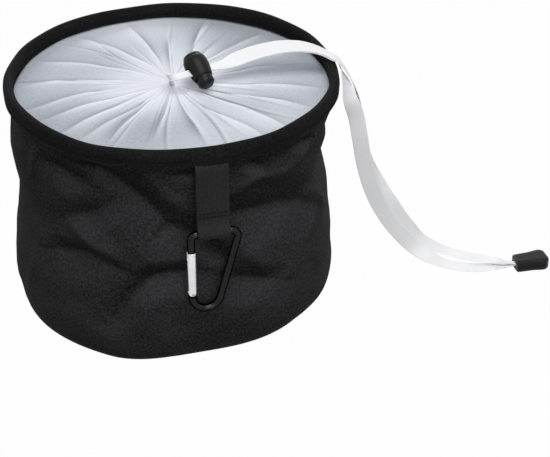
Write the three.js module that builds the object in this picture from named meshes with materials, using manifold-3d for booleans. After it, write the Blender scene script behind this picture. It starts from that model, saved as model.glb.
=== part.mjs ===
// Hanging peg basket: a soft round bag with a wire-stiffened rim and a gathered net cover, closed by
// a ribbon drawstring with a spring lock, and a webbing tab that carries a small carabiner.
// Millimetres, +Z up. The origin is the middle of the underside, and the tab faces -Y.

import * as THREE from 'three';
import { mergeVertices } from 'three/addons/utils/BufferGeometryUtils.js';
import Module from 'manifold-3d';

const wasm = await Module();
wasm.setup();

// Fits and facets
const clearance = 0.3;
const turnSteps = 60;
const fullTurn = 360;
const smallTurnSteps = 24;
const springWireSides = 5;

// Bag
const rimRadius = 100;
const basketHeight = 150;
const wallThickness = 1.5;
const baseInset = 13;
const neckDrop = 13;
const flareDrop = 1.5;
const footRise = 2;
const footSeamRise = 5;
const wallRows = 12;
const pegRoomShare = 0.66;
const pegRoomBottom = 20;
const pegRoomGap = 2;
const foldSlope = 1.5;
const baseThickness = 1.5;
const hemWidth = 3;
const hemHeight = 9;
const seamTapeThickness = 0.8;
const seamTapeReach = 6;
const sideTapeWidth = 12;
const sideTapeBottom = 16;
const seamStiffAngle = 7;

// Outline of the soft bag around it: degrees from the tab, and how far the wall stands in from the
// rim's radius at each of these shares of the height
const outlineShares = [0, 0.06, 0.16, 0.333, 0.493, 0.64, 0.767, 0.867];
const outlines = [
  [-95, [4, 1.3, -1.4, 0.6, 3.7, 3.6, 2.2, 3.6]],
  [-40, [10, 4.5, 1.8, 2.4, 4, 5, 4.4, 3.8]],
  [0, [21.5, 11.5, 6, 4, 4.4, 5.4, 5, 3.8]],
  [38, [18, 8.5, 4, 3.4, 4.4, 5.8, 5.6, 4.2]],
  [73, [7.4, 4.4, 3, 3.9, 6.2, 12.1, 7.6, 4.6]],
  [120, [10, 4.8, 2.2, 2.6, 3.6, 4.2, 3.8, 3.6]],
  [180, [12, 5.6, 2.6, 2.6, 3.4, 3.8, 3.6, 3.5]],
  [220, [10, 4.4, 1.8, 2.2, 3.2, 3.8, 3.5, 3.4]],
];

// Main folds, from left to right through [degrees from the tab, share of the height], with how far
// each stands out and the widths of its upper and lower slopes
const folds = [
  { line: [[-44.5, 0.94], [-31.3, 0.84], [-18, 0.707], [-7, 0.627]], out: -8.2, above: 16, below: 26 },
  { line: [[-58, 0.843], [-48.8, 0.813], [-44.7, 0.807]], out: -5.5, above: 9, below: 16 },
  { line: [[-54, 0.62], [-41, 0.693], [-33, 0.753]], out: -3.4, above: 14, below: 14 },
  { line: [[-52.6, 0.607], [-41.9, 0.54], [-34.4, 0.511]], out: 3.0, above: 16, below: 8 },
  { line: [[-60, 0.457], [-46.3, 0.493], [-36.4, 0.478]], out: -5.6, above: 10, below: 24 },
  { line: [[-24, 0.413], [-15.6, 0.451], [-5, 0.46]], out: -6.2, above: 10, below: 18 },
  { line: [[-35, 0.207], [-30, 0.32], [-23.3, 0.413]], out: -4.2, above: 14, below: 14 },
  { line: [[-16.9, 0.793], [-7, 0.75]], out: 3.0, above: 16, below: 9 },
  { line: [[12.5, 0.94], [18.2, 0.853]], out: -6.0, above: 10, below: 7 },
  { line: [[18, 0.83], [35, 0.81]], out: 3.0, above: 14, below: 8 },
  { line: [[8, 0.687], [30, 0.647], [43.5, 0.591]], out: -7.6, above: 20, below: 24 },
  { line: [[7, 0.413], [15, 0.373], [25, 0.333]], out: -5.6, above: 12, below: 20 },
  { line: [[-2.3, 0.572], [5.3, 0.483]], out: -4.0, above: 10, below: 12 },
  { line: [[32.5, 0.913], [41.6, 0.891]], out: -5.4, above: 5, below: 8 },
  { line: [[46, 0.613], [57.6, 0.507]], out: 3.0, above: 10, below: 8 },
  { line: [[58, 0.893], [74, 0.693]], out: -3.0, above: 9, below: 8 },
  { line: [[98, 0.853], [108, 0.76], [122, 0.673]], out: -6.0, above: 14, below: 20 },
  { line: [[100, 0.413], [124, 0.307]], out: -5.0, above: 12, below: 18 },
  { line: [[112, 0.573], [124, 0.533], [136, 0.573]], out: 3.0, above: 14, below: 12 },
  { line: [[132, 0.493], [148, 0.453], [164, 0.48]], out: -5.2, above: 12, below: 20 },
  { line: [[146, 0.8], [164, 0.66]], out: -4.8, above: 12, below: 16 },
  { line: [[150, 0.24], [174, 0.213]], out: -3.0, above: 12, below: 14 },
  { line: [[196, 0.88], [218, 0.693]], out: -6.0, above: 14, below: 20 },
  { line: [[190, 0.413], [204, 0.373], [218, 0.4]], out: -4.8, above: 12, below: 20 },
  { line: [[222, 0.56], [236, 0.52], [250, 0.547]], out: -4.6, above: 12, below: 18 },
  { line: [[228, 0.827], [246, 0.693]], out: -5.0, above: 10, below: 16 },
  { line: [[226, 0.253], [238, 0.213], [250, 0.24]], out: -3.2, above: 12, below: 14 },
];

// Rim
const bindingThickness = 1.2;
const bindingHeight = 9;
const foldSteps = 4;
const hoopWire = 1.6;
const hoopGap = 1;
const hoopSides = 6;
const ferruleAngle = 6;
const ferruleBoreGap = 0.2;
const ferruleSteps = 2;
const ferruleSides = 8;

// Net cover
const coverThickness = 1;
const coverRise = 1.6;
const pleatCount = 30;
const coverHole = 5;
const coverRings = [[0, 0.5], [0.12, 0.9], [0.4, 1.2], [0.72, 0.9], [1, 0]];
const casingThickness = 0.8;
const casingRadius = 9;
const casingHeight = 7;

// Ribbon drawstring, flat and bunched
const ribbonWidth = 10;
const ribbonThickness = 0.8;
const spreadingWidth = 8.5;
const narrowingWidth = 8;
const bunchWidth = 6;
const bunchThickness = ribbonThickness * ribbonWidth / bunchWidth;

// Cord lock: where the ribbon passes, which way it runs and how far the button end dips
const lockRight = 14.2;
const lockForward = 13;
const lockRise = 4.2;
const lockHeading = THREE.MathUtils.degToRad(17);
const lockDip = THREE.MathUtils.degToRad(31);
const barrelRadius = 6.7;
const barrelBack = 12.25;
const barrelFront = 5.25;
const barrelFloor = 1.5;
const barrelRound = 2.2;
const barrelRoundLength = 3.4;
const barrelRoundSteps = 3;
const barrelLip = 0.6;
const plungerRadius = 5.1;
const plungerReach = 7;
const plungerRound = 1.2;
const plungerFloor = 1.5;
const plungerTravel = 3.5;
const lockMouthGap = 1.3;
const lockApproach = 5;
const lockTravel = 10;
const lockSpringRadius = 3.6;
const lockSpringWire = 0.8;
const lockSpringTurns = 3.5;

// Cord end, lying on the floor along +X
const cordEndMouth = new THREE.Vector3(213, -44.4, 0);
const cordEndLength = 22;
const cordEndMouthWidth = 10;
const cordEndNeckWidth = 11.6;
const cordEndKnobWidth = 13.4;
const cordEndKnobLength = 8;
const cordEndKnobStep = 1.5;
const cordEndTipWidth = 7.6;
const cordEndHeight = 8;
const cordEndBevel = 0.8;
const cordEndBevelSteps = 2;
const knotRadius = 2.4;
const knotLength = 7;
const knotSetback = 5;
const knotSides = 10;
const knotRings = 8;

// Hanging tab
const tabWidth = 19;
const webbingThickness = 1.2;
const tabRise = 0.4;
const tabLength = 43.65;
const tabPlay = 0.55;
const loopTaper = 9;
const tabArcSteps = 8;
const loopFlare = THREE.MathUtils.degToRad(30);

// Carabiner
const rodDiameter = 4.5;
const barPlay = 0.2;
const rodSides = 10;
const rodSteps = 44;
const noseBend = 3.4;
const noseDrop = 7.5;
const spineBend = 4.4;
const spineLean = THREE.MathUtils.degToRad(15.5);
const carabinerDrop = 50.3;
const heelLength = 0.5;
const gateRadius = 2.6;
const gateSides = 14;
const pinSides = 12;
const eyeSides = 16;
const weldDepth = 1;
const bladeThickness = 1.8;
const tangRadius = 1.6;
const rivetRadius = 0.8;
const rivetProud = 0.15;
const latchDepth = 5.8;
const latchTipGap = 0.6;
const latchPinRadius = 0.6;
const latchPinDrop = 2.9;
const latchPinOffset = 0.4;
const bladeOuter = 1.5;
const bladeInner = 0.9;
const gatePlug = 8;
const gateSpringRadius = 0.95;
const gateSpringWire = 0.5;
const gateSpringPitch = 1.6;

// Sizes that follow from those above
const rodRadius = rodDiameter / 2;
const bindingBottom = basketHeight - bindingHeight;
const wallRimOuter = rimRadius - bindingThickness - clearance;
const wallRimInner = wallRimOuter - wallThickness;
const coverOuter = wallRimInner - clearance;
const coverInner = coverOuter - coverThickness;
const bindingInner = coverInner - clearance - bindingThickness;
const foldMiddle = (rimRadius + bindingInner) / 2;
const foldOuter = (rimRadius - bindingInner) / 2;
const foldInner = foldOuter - bindingThickness;
const foldHeight = basketHeight - foldOuter;
const ferruleOuter = foldInner - clearance;
const clothTop = foldHeight - ferruleOuter - clearance;
const pegRoom = rimRadius * pegRoomShare;
const baseRadius = rimRadius - baseInset;
const hemOuter = baseRadius - hemWidth;
const hemInner = hemOuter - wallThickness;
const baseFlangeOuter = hemInner - clearance;
const baseFlangeInner = baseFlangeOuter - baseThickness;

// Finishes
function finish(color, roughness, metalness = 0) {
  return new THREE.MeshStandardMaterial({ color, roughness, metalness });
}
const blackCloth = finish(0x1b1b1d, 0.9);
const blackTape = finish(0x141415, 0.85);
const whiteNet = finish(0xe6e8f0, 0.85);
const whiteRibbon = finish(0xf4f5f8, 0.6);
const blackPlastic = finish(0x1d1d1f, 0.5);
const greyWebbing = finish(0x26262a, 0.8);
const blackMetal = finish(0x161617, 0.4, 0.6);
const brightMetal = finish(0xc9ccd0, 0.3, 0.9);
const springSteel = finish(0x9a9ca0, 0.35, 0.9);

const basket = new THREE.Group();

function add(name, geometry, material, parent = basket) {
  const mesh = new THREE.Mesh(weld(geometry), material);
  mesh.name = name;
  parent.add(mesh);
  return mesh;
}

// A closed surface with shared corners, no empty triangles and its faces pointing out
function weld(geometry) {
  const bare = geometry.clone();
  bare.deleteAttribute('normal');
  bare.deleteAttribute('uv');
  const merged = mergeVertices(bare);
  const corners = merged.index.array;
  const kept = [];
  for (let i = 0; i < corners.length; i += 3) {
    const [a, b, c] = [corners[i], corners[i + 1], corners[i + 2]];
    if (a !== b && b !== c && c !== a) kept.push(a, b, c);
  }
  const inward = enclosedVolume(merged.attributes.position, kept) < 0;
  const outward = inward ? kept.map((_, i) => kept[i - (i % 3) + [0, 2, 1][i % 3]]) : kept;
  merged.setIndex(outward);
  merged.computeVertexNormals();
  return merged;
}

function enclosedVolume(position, corners) {
  const [a, b, c] = [new THREE.Vector3(), new THREE.Vector3(), new THREE.Vector3()];
  let volume = 0;
  for (let i = 0; i < corners.length; i += 3) {
    a.fromBufferAttribute(position, corners[i]);
    b.fromBufferAttribute(position, corners[i + 1]);
    c.fromBufferAttribute(position, corners[i + 2]);
    volume += a.dot(b.cross(c)) / 6;
  }
  return volume;
}

// Boolean cuts and joins
function toSolid(geometry) {
  const closed = weld(geometry);
  const vertProperties = new Float32Array(closed.attributes.position.array);
  const triVerts = new Uint32Array(closed.index.array);
  return new wasm.Manifold(new wasm.Mesh({ numProp: 3, vertProperties, triVerts }));
}

function toGeometry(solid) {
  const mesh = solid.getMesh();
  const geometry = new THREE.BufferGeometry();
  geometry.setAttribute('position', new THREE.BufferAttribute(new Float32Array(mesh.vertProperties), 3));
  geometry.setIndex(new THREE.BufferAttribute(new Uint32Array(mesh.triVerts), 1));
  return geometry;
}

function cut(geometry, ...tools) {
  return toGeometry(tools.reduce((solid, tool) => solid.subtract(toSolid(tool)), toSolid(geometry)));
}

function join(geometry, ...others) {
  return toGeometry(others.reduce((solid, other) => solid.add(toSolid(other)), toSolid(geometry)));
}

function shared(geometry, other) {
  return toGeometry(toSolid(geometry).intersect(toSolid(other)));
}

// Basic shapes
function turned(profile, steps = turnSteps) {
  const points = profile.map(([radius, height]) => new THREE.Vector2(radius, height));
  const geometry = new THREE.LatheGeometry(points, steps);
  geometry.rotateX(Math.PI / 2);
  return geometry;
}

function turnedRing(profile, steps = turnSteps) {
  return turned([...profile, profile[0]], steps);
}

function block(low, high) {
  const size = high.map((value, i) => value - low[i]);
  const middle = high.map((value, i) => (value + low[i]) / 2);
  const geometry = new THREE.BoxGeometry(...size);
  geometry.translate(...middle);
  return geometry;
}

function pinAcross(radius, halfLength, x, z, sides = pinSides) {
  const geometry = new THREE.CylinderGeometry(radius, radius, 2 * halfLength, sides);
  geometry.translate(x, 0, z);
  return geometry;
}

function polygon(radius, sides) {
  const corners = [];
  for (let i = 0; i < sides; i++) {
    const angle = 2 * Math.PI * (i + 0.5) / sides;
    corners.push(new THREE.Vector2(radius * Math.cos(angle), radius * Math.sin(angle)));
  }
  return corners;
}

function swept(path, steps, section, hole = null) {
  const shape = new THREE.Shape(section);
  if (hole) shape.holes.push(new THREE.Path(hole));
  return new THREE.ExtrudeGeometry(shape, { steps, extrudePath: path, bevelEnabled: false });
}

// A skin over rings of corners, closed round on itself or capped at both ends
function skin(rings, closesOnItself) {
  const sides = rings[0].length;
  const geometry = new THREE.BufferGeometry().setFromPoints(rings.flat());
  const corners = [];
  const spans = closesOnItself ? rings.length : rings.length - 1;
  for (let i = 0; i < spans; i++) {
    const here = i * sides;
    const next = ((i + 1) % rings.length) * sides;
    for (let j = 0; j < sides; j++) {
      const k = (j + 1) % sides;
      corners.push(here + j, next + j, next + k, here + j, next + k, here + k);
    }
  }
  if (!closesOnItself) {
    const last = (rings.length - 1) * sides;
    for (let j = 1; j < sides - 1; j++) {
      corners.push(0, j, j + 1, last, last + j + 1, last + j);
    }
  }
  geometry.setIndex(corners);
  return geometry;
}

// A point on the round bag, counted from the front at -Y
function aroundBag(radius, angle, height) {
  return new THREE.Vector3(radius * Math.sin(angle), -radius * Math.cos(angle), height);
}

// Least gap between the turns of a coil of wire, measured on its points
function leastGap(path, steps, wire, stepsPerTurn) {
  const points = path.getSpacedPoints(steps);
  let least = Infinity;
  for (let i = 0; i < points.length; i++) {
    for (let j = i + Math.round(stepsPerTurn / 2); j < points.length; j++) {
      least = Math.min(least, points[i].distanceTo(points[j]) - wire);
    }
  }
  return least;
}

class Helix extends THREE.Curve {
  constructor(radius, bottom, top, turns) {
    super();
    Object.assign(this, { radius, bottom, top, turns });
  }
  getPoint(t, target = new THREE.Vector3()) {
    const angle = 2 * Math.PI * this.turns * t;
    const height = this.bottom + (this.top - this.bottom) * t;
    return target.set(this.radius * Math.cos(angle), this.radius * Math.sin(angle), height);
  }
}

class RimArc extends THREE.Curve {
  constructor(radius, height, from, to) {
    super();
    Object.assign(this, { radius, height, from, to });
  }
  getPoint(t, target = new THREE.Vector3()) {
    return target.copy(aroundBag(this.radius, this.from + (this.to - this.from) * t, this.height));
  }
}

class UprightPath extends THREE.Curve {
  constructor(path) {
    super();
    this.path = path;
  }
  getPoint(t, target = new THREE.Vector3()) {
    const point = this.path.getPoint(t);
    return target.set(point.x, 0, point.y);
  }
}

function coil(radius, wire, bottom, top, turns, label) {
  const stepsPerTurn = 8;
  const steps = Math.round(turns * stepsPerTurn);
  const path = new Helix(radius, bottom, top, turns);
  console.log(`${label}: least gap ${leastGap(path, steps, wire, stepsPerTurn).toFixed(2)} mm`);
  return swept(path, steps, polygon(wire / 2, springWireSides));
}

// Side wall: a soft outline that differs around the bag, with the main folds in it
function readAt(xs, ys, x) {
  const i = Math.max(1, xs.filter((value, k) => k < xs.length - 1 && value < x).length);
  const share = THREE.MathUtils.clamp((x - xs[i - 1]) / (xs[i] - xs[i - 1]), 0, 1);
  return THREE.MathUtils.lerp(ys[i - 1], ys[i], share);
}

function outlineInset(degrees, height) {
  const heights = [...outlineShares.map((share) => share * basketHeight), bindingBottom - flareDrop];
  const [first] = outlines[0];
  const around = [...outlines, [first + fullTurn, outlines[0][1]]];
  const turn = THREE.MathUtils.euclideanModulo(degrees - first, fullTurn) + first;
  const i = Math.max(1, around.findIndex(([stop]) => stop >= turn));
  const [[from, near], [to, far]] = [around[i - 1], around[i]];
  const share = THREE.MathUtils.smoothstep(turn, from, to);
  const inset = (values) => readAt(heights, [...values, rimRadius - wallRimOuter], height);
  return THREE.MathUtils.lerp(inset(near), inset(far), share);
}

function foldOut({ line, out, above, below }, degrees, height) {
  const perDegree = 2 * Math.PI * rimRadius / fullTurn;
  const points = line.map(([angle, share]) => new THREE.Vector2(angle * perDegree, share * basketHeight));
  const middle = (line[0][0] + line[line.length - 1][0]) / 2;
  const turn = THREE.MathUtils.euclideanModulo(degrees - middle + fullTurn / 2, fullTurn) - fullTurn / 2;
  const here = new THREE.Vector2((turn + middle) * perDegree, height);
  let nearest = Infinity;
  let width = above;
  for (let i = 1; i < points.length; i++) {
    const along = points[i].clone().sub(points[i - 1]);
    const apart = here.clone().sub(points[i - 1]);
    const reach = THREE.MathUtils.clamp(apart.dot(along) / along.lengthSq(), 0, 1);
    apart.addScaledVector(along, -reach);
    if (apart.length() < nearest) {
      nearest = apart.length();
      width = along.cross(apart) > 0 ? above : below;
    }
  }
  return out * Math.max(0, 1 - nearest / width) ** foldSlope;
}

// The square room for the pegs stays free, also where a flat facet spans one of its corners
function leastRadius(degrees) {
  const facet = fullTurn / turnSteps;
  const corner = fullTurn / 8;
  const fromSide = Math.abs(THREE.MathUtils.euclideanModulo(degrees + corner, 2 * corner) - corner);
  const reach = Math.min(corner, fromSide + facet);
  return pegRoom / Math.cos(THREE.MathUtils.degToRad(reach)) + pegRoomGap + wallThickness;
}

function wallRadius(angle, height) {
  const degrees = THREE.MathUtils.radToDeg(angle);
  const fromSeam = Math.abs(THREE.MathUtils.euclideanModulo(degrees, fullTurn) - fullTurn / 2);
  const loose = THREE.MathUtils.smoothstep(height, footRise, 2 * hemHeight)
    * (1 - THREE.MathUtils.smoothstep(height, bindingBottom - neckDrop, bindingBottom - flareDrop))
    * THREE.MathUtils.smoothstep(fromSeam, seamStiffAngle, 2 * seamStiffAngle);
  const folded = folds.reduce((total, fold) => total + foldOut(fold, degrees, height), 0);
  const radius = rimRadius - outlineInset(degrees, height) + loose * folded;
  return height > pegRoomBottom ? Math.max(radius, leastRadius(degrees)) : radius;
}

function wallHeights() {
  const low = hemHeight + clearance;
  const high = bindingBottom - flareDrop;
  const heights = [footRise, footSeamRise];
  for (let i = 0; i <= wallRows; i++) heights.push(low + (high - low) * i / wallRows);
  return [...heights, clothTop];
}

// How far the bag's foot departs from a round one
function footShift(angle) {
  return wallRadius(angle, 0) - baseRadius;
}

function shiftedFoot(geometry) {
  const position = geometry.attributes.position;
  for (let i = 0; i < position.count; i++) {
    const [x, y] = [position.getX(i), position.getY(i)];
    const radius = Math.hypot(x, y);
    if (radius < hemWidth) continue;
    const share = (radius + footShift(Math.atan2(x, -y))) / radius;
    position.setXY(i, x * share, y * share);
  }
  return geometry;
}

function sideWall() {
  const rings = [];
  for (let i = 0; i < turnSteps; i++) {
    const angle = 2 * Math.PI * i / turnSteps;
    const shift = footShift(angle);
    const outer = wallHeights().map((height) => [wallRadius(angle, height), height]);
    const inner = outer.map(([radius, height]) => [radius - wallThickness, height]).reverse();
    const hem = [
      [hemOuter, wallThickness], [hemOuter, hemHeight], [hemInner, hemHeight], [hemInner, 0],
      [baseRadius - footRise, 0],
    ].map(([radius, height]) => [radius + shift, height]);
    rings.push([...outer, ...inner, ...hem].map(([radius, height]) => aroundBag(radius, angle, height)));
  }
  return skin(rings, true);
}

function basePanel() {
  return shiftedFoot(turned([
    [0, 0], [baseFlangeOuter, 0], [baseFlangeOuter, hemHeight], [baseFlangeInner, hemHeight],
    [baseFlangeInner, baseThickness], [0, baseThickness],
  ]));
}

function baseSeamTape() {
  const insideFlange = baseFlangeInner - clearance;
  const outsideHem = hemOuter + clearance;
  const under = hemHeight + clearance;
  const top = under + seamTapeThickness;
  const bottom = top - seamTapeReach;
  return shiftedFoot(turnedRing([
    [insideFlange - seamTapeThickness, bottom], [insideFlange - seamTapeThickness, top],
    [outsideHem + seamTapeThickness, top], [outsideHem + seamTapeThickness, bottom],
    [outsideHem, bottom], [outsideHem, under], [insideFlange, under], [insideFlange, bottom],
  ]));
}

function sideSeamTape() {
  const top = bindingBottom - neckDrop;
  const heights = wallHeights().filter((height) => height > sideTapeBottom && height < top);
  const rings = heights.map((height) => {
    const outer = wallRadius(Math.PI, height) - wallThickness - clearance;
    const inner = outer - seamTapeThickness;
    const half = sideTapeWidth / 2 / outer;
    return [
      aroundBag(outer, Math.PI - half, height), aroundBag(outer, Math.PI + half, height),
      aroundBag(inner, Math.PI + half, height), aroundBag(inner, Math.PI - half, height),
    ];
  });
  return skin(rings, false);
}

// Rim: a folded tape over the tops of the wall and the cover, with a wire hoop in the fold
function rimBinding() {
  const arc = (radius, from, to) => {
    const points = [];
    for (let i = 0; i <= foldSteps; i++) {
      const angle = from + (to - from) * i / foldSteps;
      points.push([foldMiddle + radius * Math.cos(angle), foldHeight + radius * Math.sin(angle)]);
    }
    return points;
  };
  return turnedRing([
    [rimRadius, bindingBottom], ...arc(foldOuter, 0, Math.PI), [bindingInner, bindingBottom],
    [bindingInner + bindingThickness, bindingBottom], ...arc(foldInner, Math.PI, 0),
    [rimRadius - bindingThickness, bindingBottom],
  ]);
}

function rimHoop() {
  const halfGap = hoopGap / 2 / foldMiddle;
  const path = new RimArc(foldMiddle, foldHeight, Math.PI + halfGap, 3 * Math.PI - halfGap);
  return swept(path, turnSteps, polygon(hoopWire / 2, hoopSides));
}

function hoopFerrule() {
  const half = THREE.MathUtils.degToRad(ferruleAngle);
  const path = new RimArc(foldMiddle, foldHeight, Math.PI - half, Math.PI + half);
  const bore = hoopWire / 2 + ferruleBoreGap;
  return swept(path, ferruleSteps, polygon(ferruleOuter, ferruleSides), polygon(bore, ferruleSides));
}

// Net cover: a pleated sheet from the rim's inner edge to the hole in the middle
const coverEdge = bindingBottom - clearance;
const coverFlat = bindingInner - clearance;

function coverMiddleAt(radius) {
  return coverEdge - coverThickness / 2 + coverRise * (1 - (radius / coverFlat) ** 2);
}

function meshCover() {
  const rings = [];
  for (let i = 0; i < 2 * pleatCount; i++) {
    const angle = Math.PI * i / pleatCount;
    const side = i % 2 ? -1 : 1;
    const sheet = coverRings.map(([share, pleat]) => {
      const radius = coverHole + (coverFlat - coverHole) * share;
      return [radius, coverMiddleAt(radius) + side * pleat];
    });
    const top = sheet.map(([radius, height]) => aroundBag(radius, angle, height + coverThickness / 2));
    const bottom = sheet.map(([radius, height]) => aroundBag(radius, angle, height - coverThickness / 2));
    const flange = [
      aroundBag(coverInner, angle, coverEdge), aroundBag(coverInner, angle, clothTop),
      aroundBag(coverOuter, angle, clothTop), aroundBag(coverOuter, angle, coverEdge - coverThickness),
    ];
    rings.push([...top, ...flange, ...bottom.reverse()]);
  }
  return skin(rings, true);
}

// Casing under the hole, open towards the middle, with the ribbon's loop in it
const innermostPleat = coverRings[0][1];
const casingTop = coverMiddleAt(coverHole) - coverThickness / 2 - innermostPleat - clearance;
const bundleHalf = bunchThickness + clearance / 2;
const bundleRadius = Math.hypot(bunchWidth / 2, bundleHalf);

function coverHem() {
  const bottom = casingTop - casingHeight;
  const inside = casingRadius - casingThickness;
  return turnedRing([
    [coverHole, casingTop], [casingRadius, casingTop], [casingRadius, bottom], [coverHole, bottom],
    [coverHole, bottom + casingThickness], [inside, bottom + casingThickness],
    [inside, casingTop - casingThickness], [coverHole, casingTop - casingThickness],
  ], smallTurnSteps);
}

const loopTop = casingTop - casingThickness - clearance;
const loopBottom = casingTop - casingHeight + casingThickness + clearance;

function drawstringLoop() {
  const outer = casingRadius - casingThickness - clearance;
  const inner = bundleRadius + clearance;
  const outline = [[inner, loopBottom], [outer, loopBottom], [outer, loopTop], [inner, loopTop]];
  return turnedRing(outline, smallTurnSteps);
}

// Cord lock: local x runs along the ribbon, local z along the button
const alongRibbon = new THREE.Vector3(Math.cos(lockHeading), Math.sin(lockHeading), 0);
const alongButton = new THREE.Vector3(
  Math.cos(lockDip) * Math.sin(lockHeading), -Math.cos(lockDip) * Math.cos(lockHeading), -Math.sin(lockDip),
);
const lockUp = alongButton.clone().cross(alongRibbon);
const lock = new THREE.Group();
const lockCentre = new THREE.Vector3(lockRight, -lockForward, basketHeight + lockRise);
lock.position.copy(lockCentre);
lock.quaternion.setFromRotationMatrix(new THREE.Matrix4().makeBasis(alongRibbon, lockUp, alongButton));
basket.add(lock);

const slotHalfWidth = bunchWidth / 2 + clearance;
const slotHalfHeight = bundleHalf + clearance;
const boreRadius = plungerRadius + clearance;
const boreFloor = barrelFloor - barrelBack;
const plungerBack = -slotHalfWidth - plungerFloor;
const plungerTip = barrelFront + plungerReach;

function slotThrough(from, to) {
  const reach = 2 * barrelRadius;
  return block([-reach, -slotHalfHeight, from], [reach, slotHalfHeight, to]);
}

function lockBarrel() {
  const roundedEnd = [];
  for (let i = 0; i <= barrelRoundSteps; i++) {
    const angle = (Math.PI / 2) * i / barrelRoundSteps;
    const radius = barrelRadius - barrelRound * (1 - Math.sin(angle));
    roundedEnd.push([radius, barrelRoundLength * (1 - Math.cos(angle)) - barrelBack]);
  }
  const body = turned([
    [0, -barrelBack], ...roundedEnd,
    [barrelRadius, barrelFront - barrelLip], [barrelRadius - barrelLip, barrelFront],
    [boreRadius, barrelFront], [boreRadius, boreFloor], [0, boreFloor],
  ], smallTurnSteps);
  return cut(body, slotThrough(-slotHalfWidth, slotHalfWidth));
}

function lockPlunger() {
  const body = turned([
    [0, plungerBack], [plungerRadius, plungerBack], [plungerRadius, plungerTip - plungerRound],
    [plungerRadius - plungerRound, plungerTip], [0, plungerTip],
  ], smallTurnSteps);
  return cut(body, slotThrough(-slotHalfWidth, slotHalfWidth + plungerTravel));
}

function lockSpring() {
  const seat = clearance + lockSpringWire / 2;
  const bottom = boreFloor + seat;
  const top = plungerBack - seat;
  return coil(lockSpringRadius, lockSpringWire, bottom, top, lockSpringTurns, 'lock_spring');
}

// Ribbon routes, from the casing through the lock, over the rim and down to the cord end.
// Each row is a point, the direction across the ribbon there and the ribbon's width there.
function inLock(distance) {
  return lockCentre.clone().addScaledVector(alongRibbon, distance).toArray();
}

function overRim(x, y, rise) {
  return [x, y, basketHeight + rise];
}

const lockMouth = barrelRadius + lockMouthGap;
const cordEndMiddle = cordEndHeight / 2;
const strandsApart = bundleHalf + clearance / 2;
const lowerStrand = cordEndMiddle - strandsApart / 2;
const upperStrand = cordEndMiddle + strandsApart / 2;
const ribbonEnd = cordEndMouth.x + knotSetback - clearance;
const acrossLock = alongButton.clone().negate().toArray();
const sharedRoute = [
  [[0, 0, loopBottom], acrossLock, bunchWidth],
  [[0, 0, loopTop], acrossLock, bunchWidth],
  [overRim(-0.5, -1, -6.2), acrossLock, bunchWidth],
  [overRim(-1.8, -4.2, -2.8), acrossLock, bunchWidth],
  [overRim(-3.2, -8, 0), acrossLock, bunchWidth],
  [overRim(-4.1, -12.2, 2.2), acrossLock, bunchWidth],
  [overRim(-3.2, -15.5, 3.4), acrossLock, bunchWidth],
  [overRim(-0.9, -17.1, 4.1), acrossLock, bunchWidth],
  [inLock(-lockMouth - lockApproach), acrossLock, bunchWidth],
  [inLock(-lockMouth), acrossLock, bunchWidth],
  [inLock(lockMouth), acrossLock, bunchWidth],
  [inLock(lockMouth + lockTravel), acrossLock, bunchWidth],
  [overRim(37.5, -6.2, 5.2), [-0.2, 0.85, 0.5], spreadingWidth],
  [overRim(44, -5.6, 6.8), [-0.15, 0.88, 0.45], ribbonWidth],
  [overRim(56, -5.5, 9), [-0.1, 0.9, 0.4], ribbonWidth],
  [overRim(68.5, -5.4, 9.6), [0, 0.93, 0.35], ribbonWidth],
  [overRim(81, -6, 8), [0.1, 0.96, 0.2], ribbonWidth],
  [overRim(89.8, -7.8, 5.2), [0.13, 0.99, 0.05], ribbonWidth],
  [overRim(95.6, -10.8, 2.4), [0.13, 0.99, 0], ribbonWidth],
  [overRim(99.5, -13.4, 0.2), [0.13, 0.99, 0], ribbonWidth],
];
const leftRoute = [
  [[101, -15.4, 145.2], [0.13, 0.99, 0], ribbonWidth],
  [[102.6, -18.5, 139.2], [0.5, 0.85, 0.1], ribbonWidth],
  [[105.2, -21.4, 127.5], [0.9, 0.3, 0.2], ribbonWidth],
  [[109.7, -20.4, 114.5], [0.97, -0.1, 0.2], ribbonWidth],
  [[112.6, -20.6, 98.9], [0.97, -0.14, 0.2], ribbonWidth],
  [[115.9, -20, 81], [0.97, -0.1, 0.2], ribbonWidth],
  [[121.5, -18.9, 61.4], [0.93, 0, 0.33], ribbonWidth],
  [[129.4, -17, 43.5], [0.87, 0.05, 0.45], ribbonWidth],
  [[141.6, -15.6, 23.9], [0.8, 0.1, 0.57], ribbonWidth],
  [[156, -16.4, 7.8], [0.75, 0.2, 0.6], ribbonWidth],
  [[168.5, -25.2, 1.2], [0.55, 0.83, 0.1], ribbonWidth],
  [[182.6, -35, 0.6], [0.45, 0.89, 0], ribbonWidth],
  [[198.4, -40, 0.9], [0.25, 0.97, 0], narrowingWidth],
  [[207.5, -43.2, 2.2], [0.1, 0.99, 0], bunchWidth],
  [[cordEndMouth.x, cordEndMouth.y, lowerStrand], [0, 1, 0], bunchWidth],
  [[ribbonEnd, cordEndMouth.y, lowerStrand], [0, 1, 0], bunchWidth],
];
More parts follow.
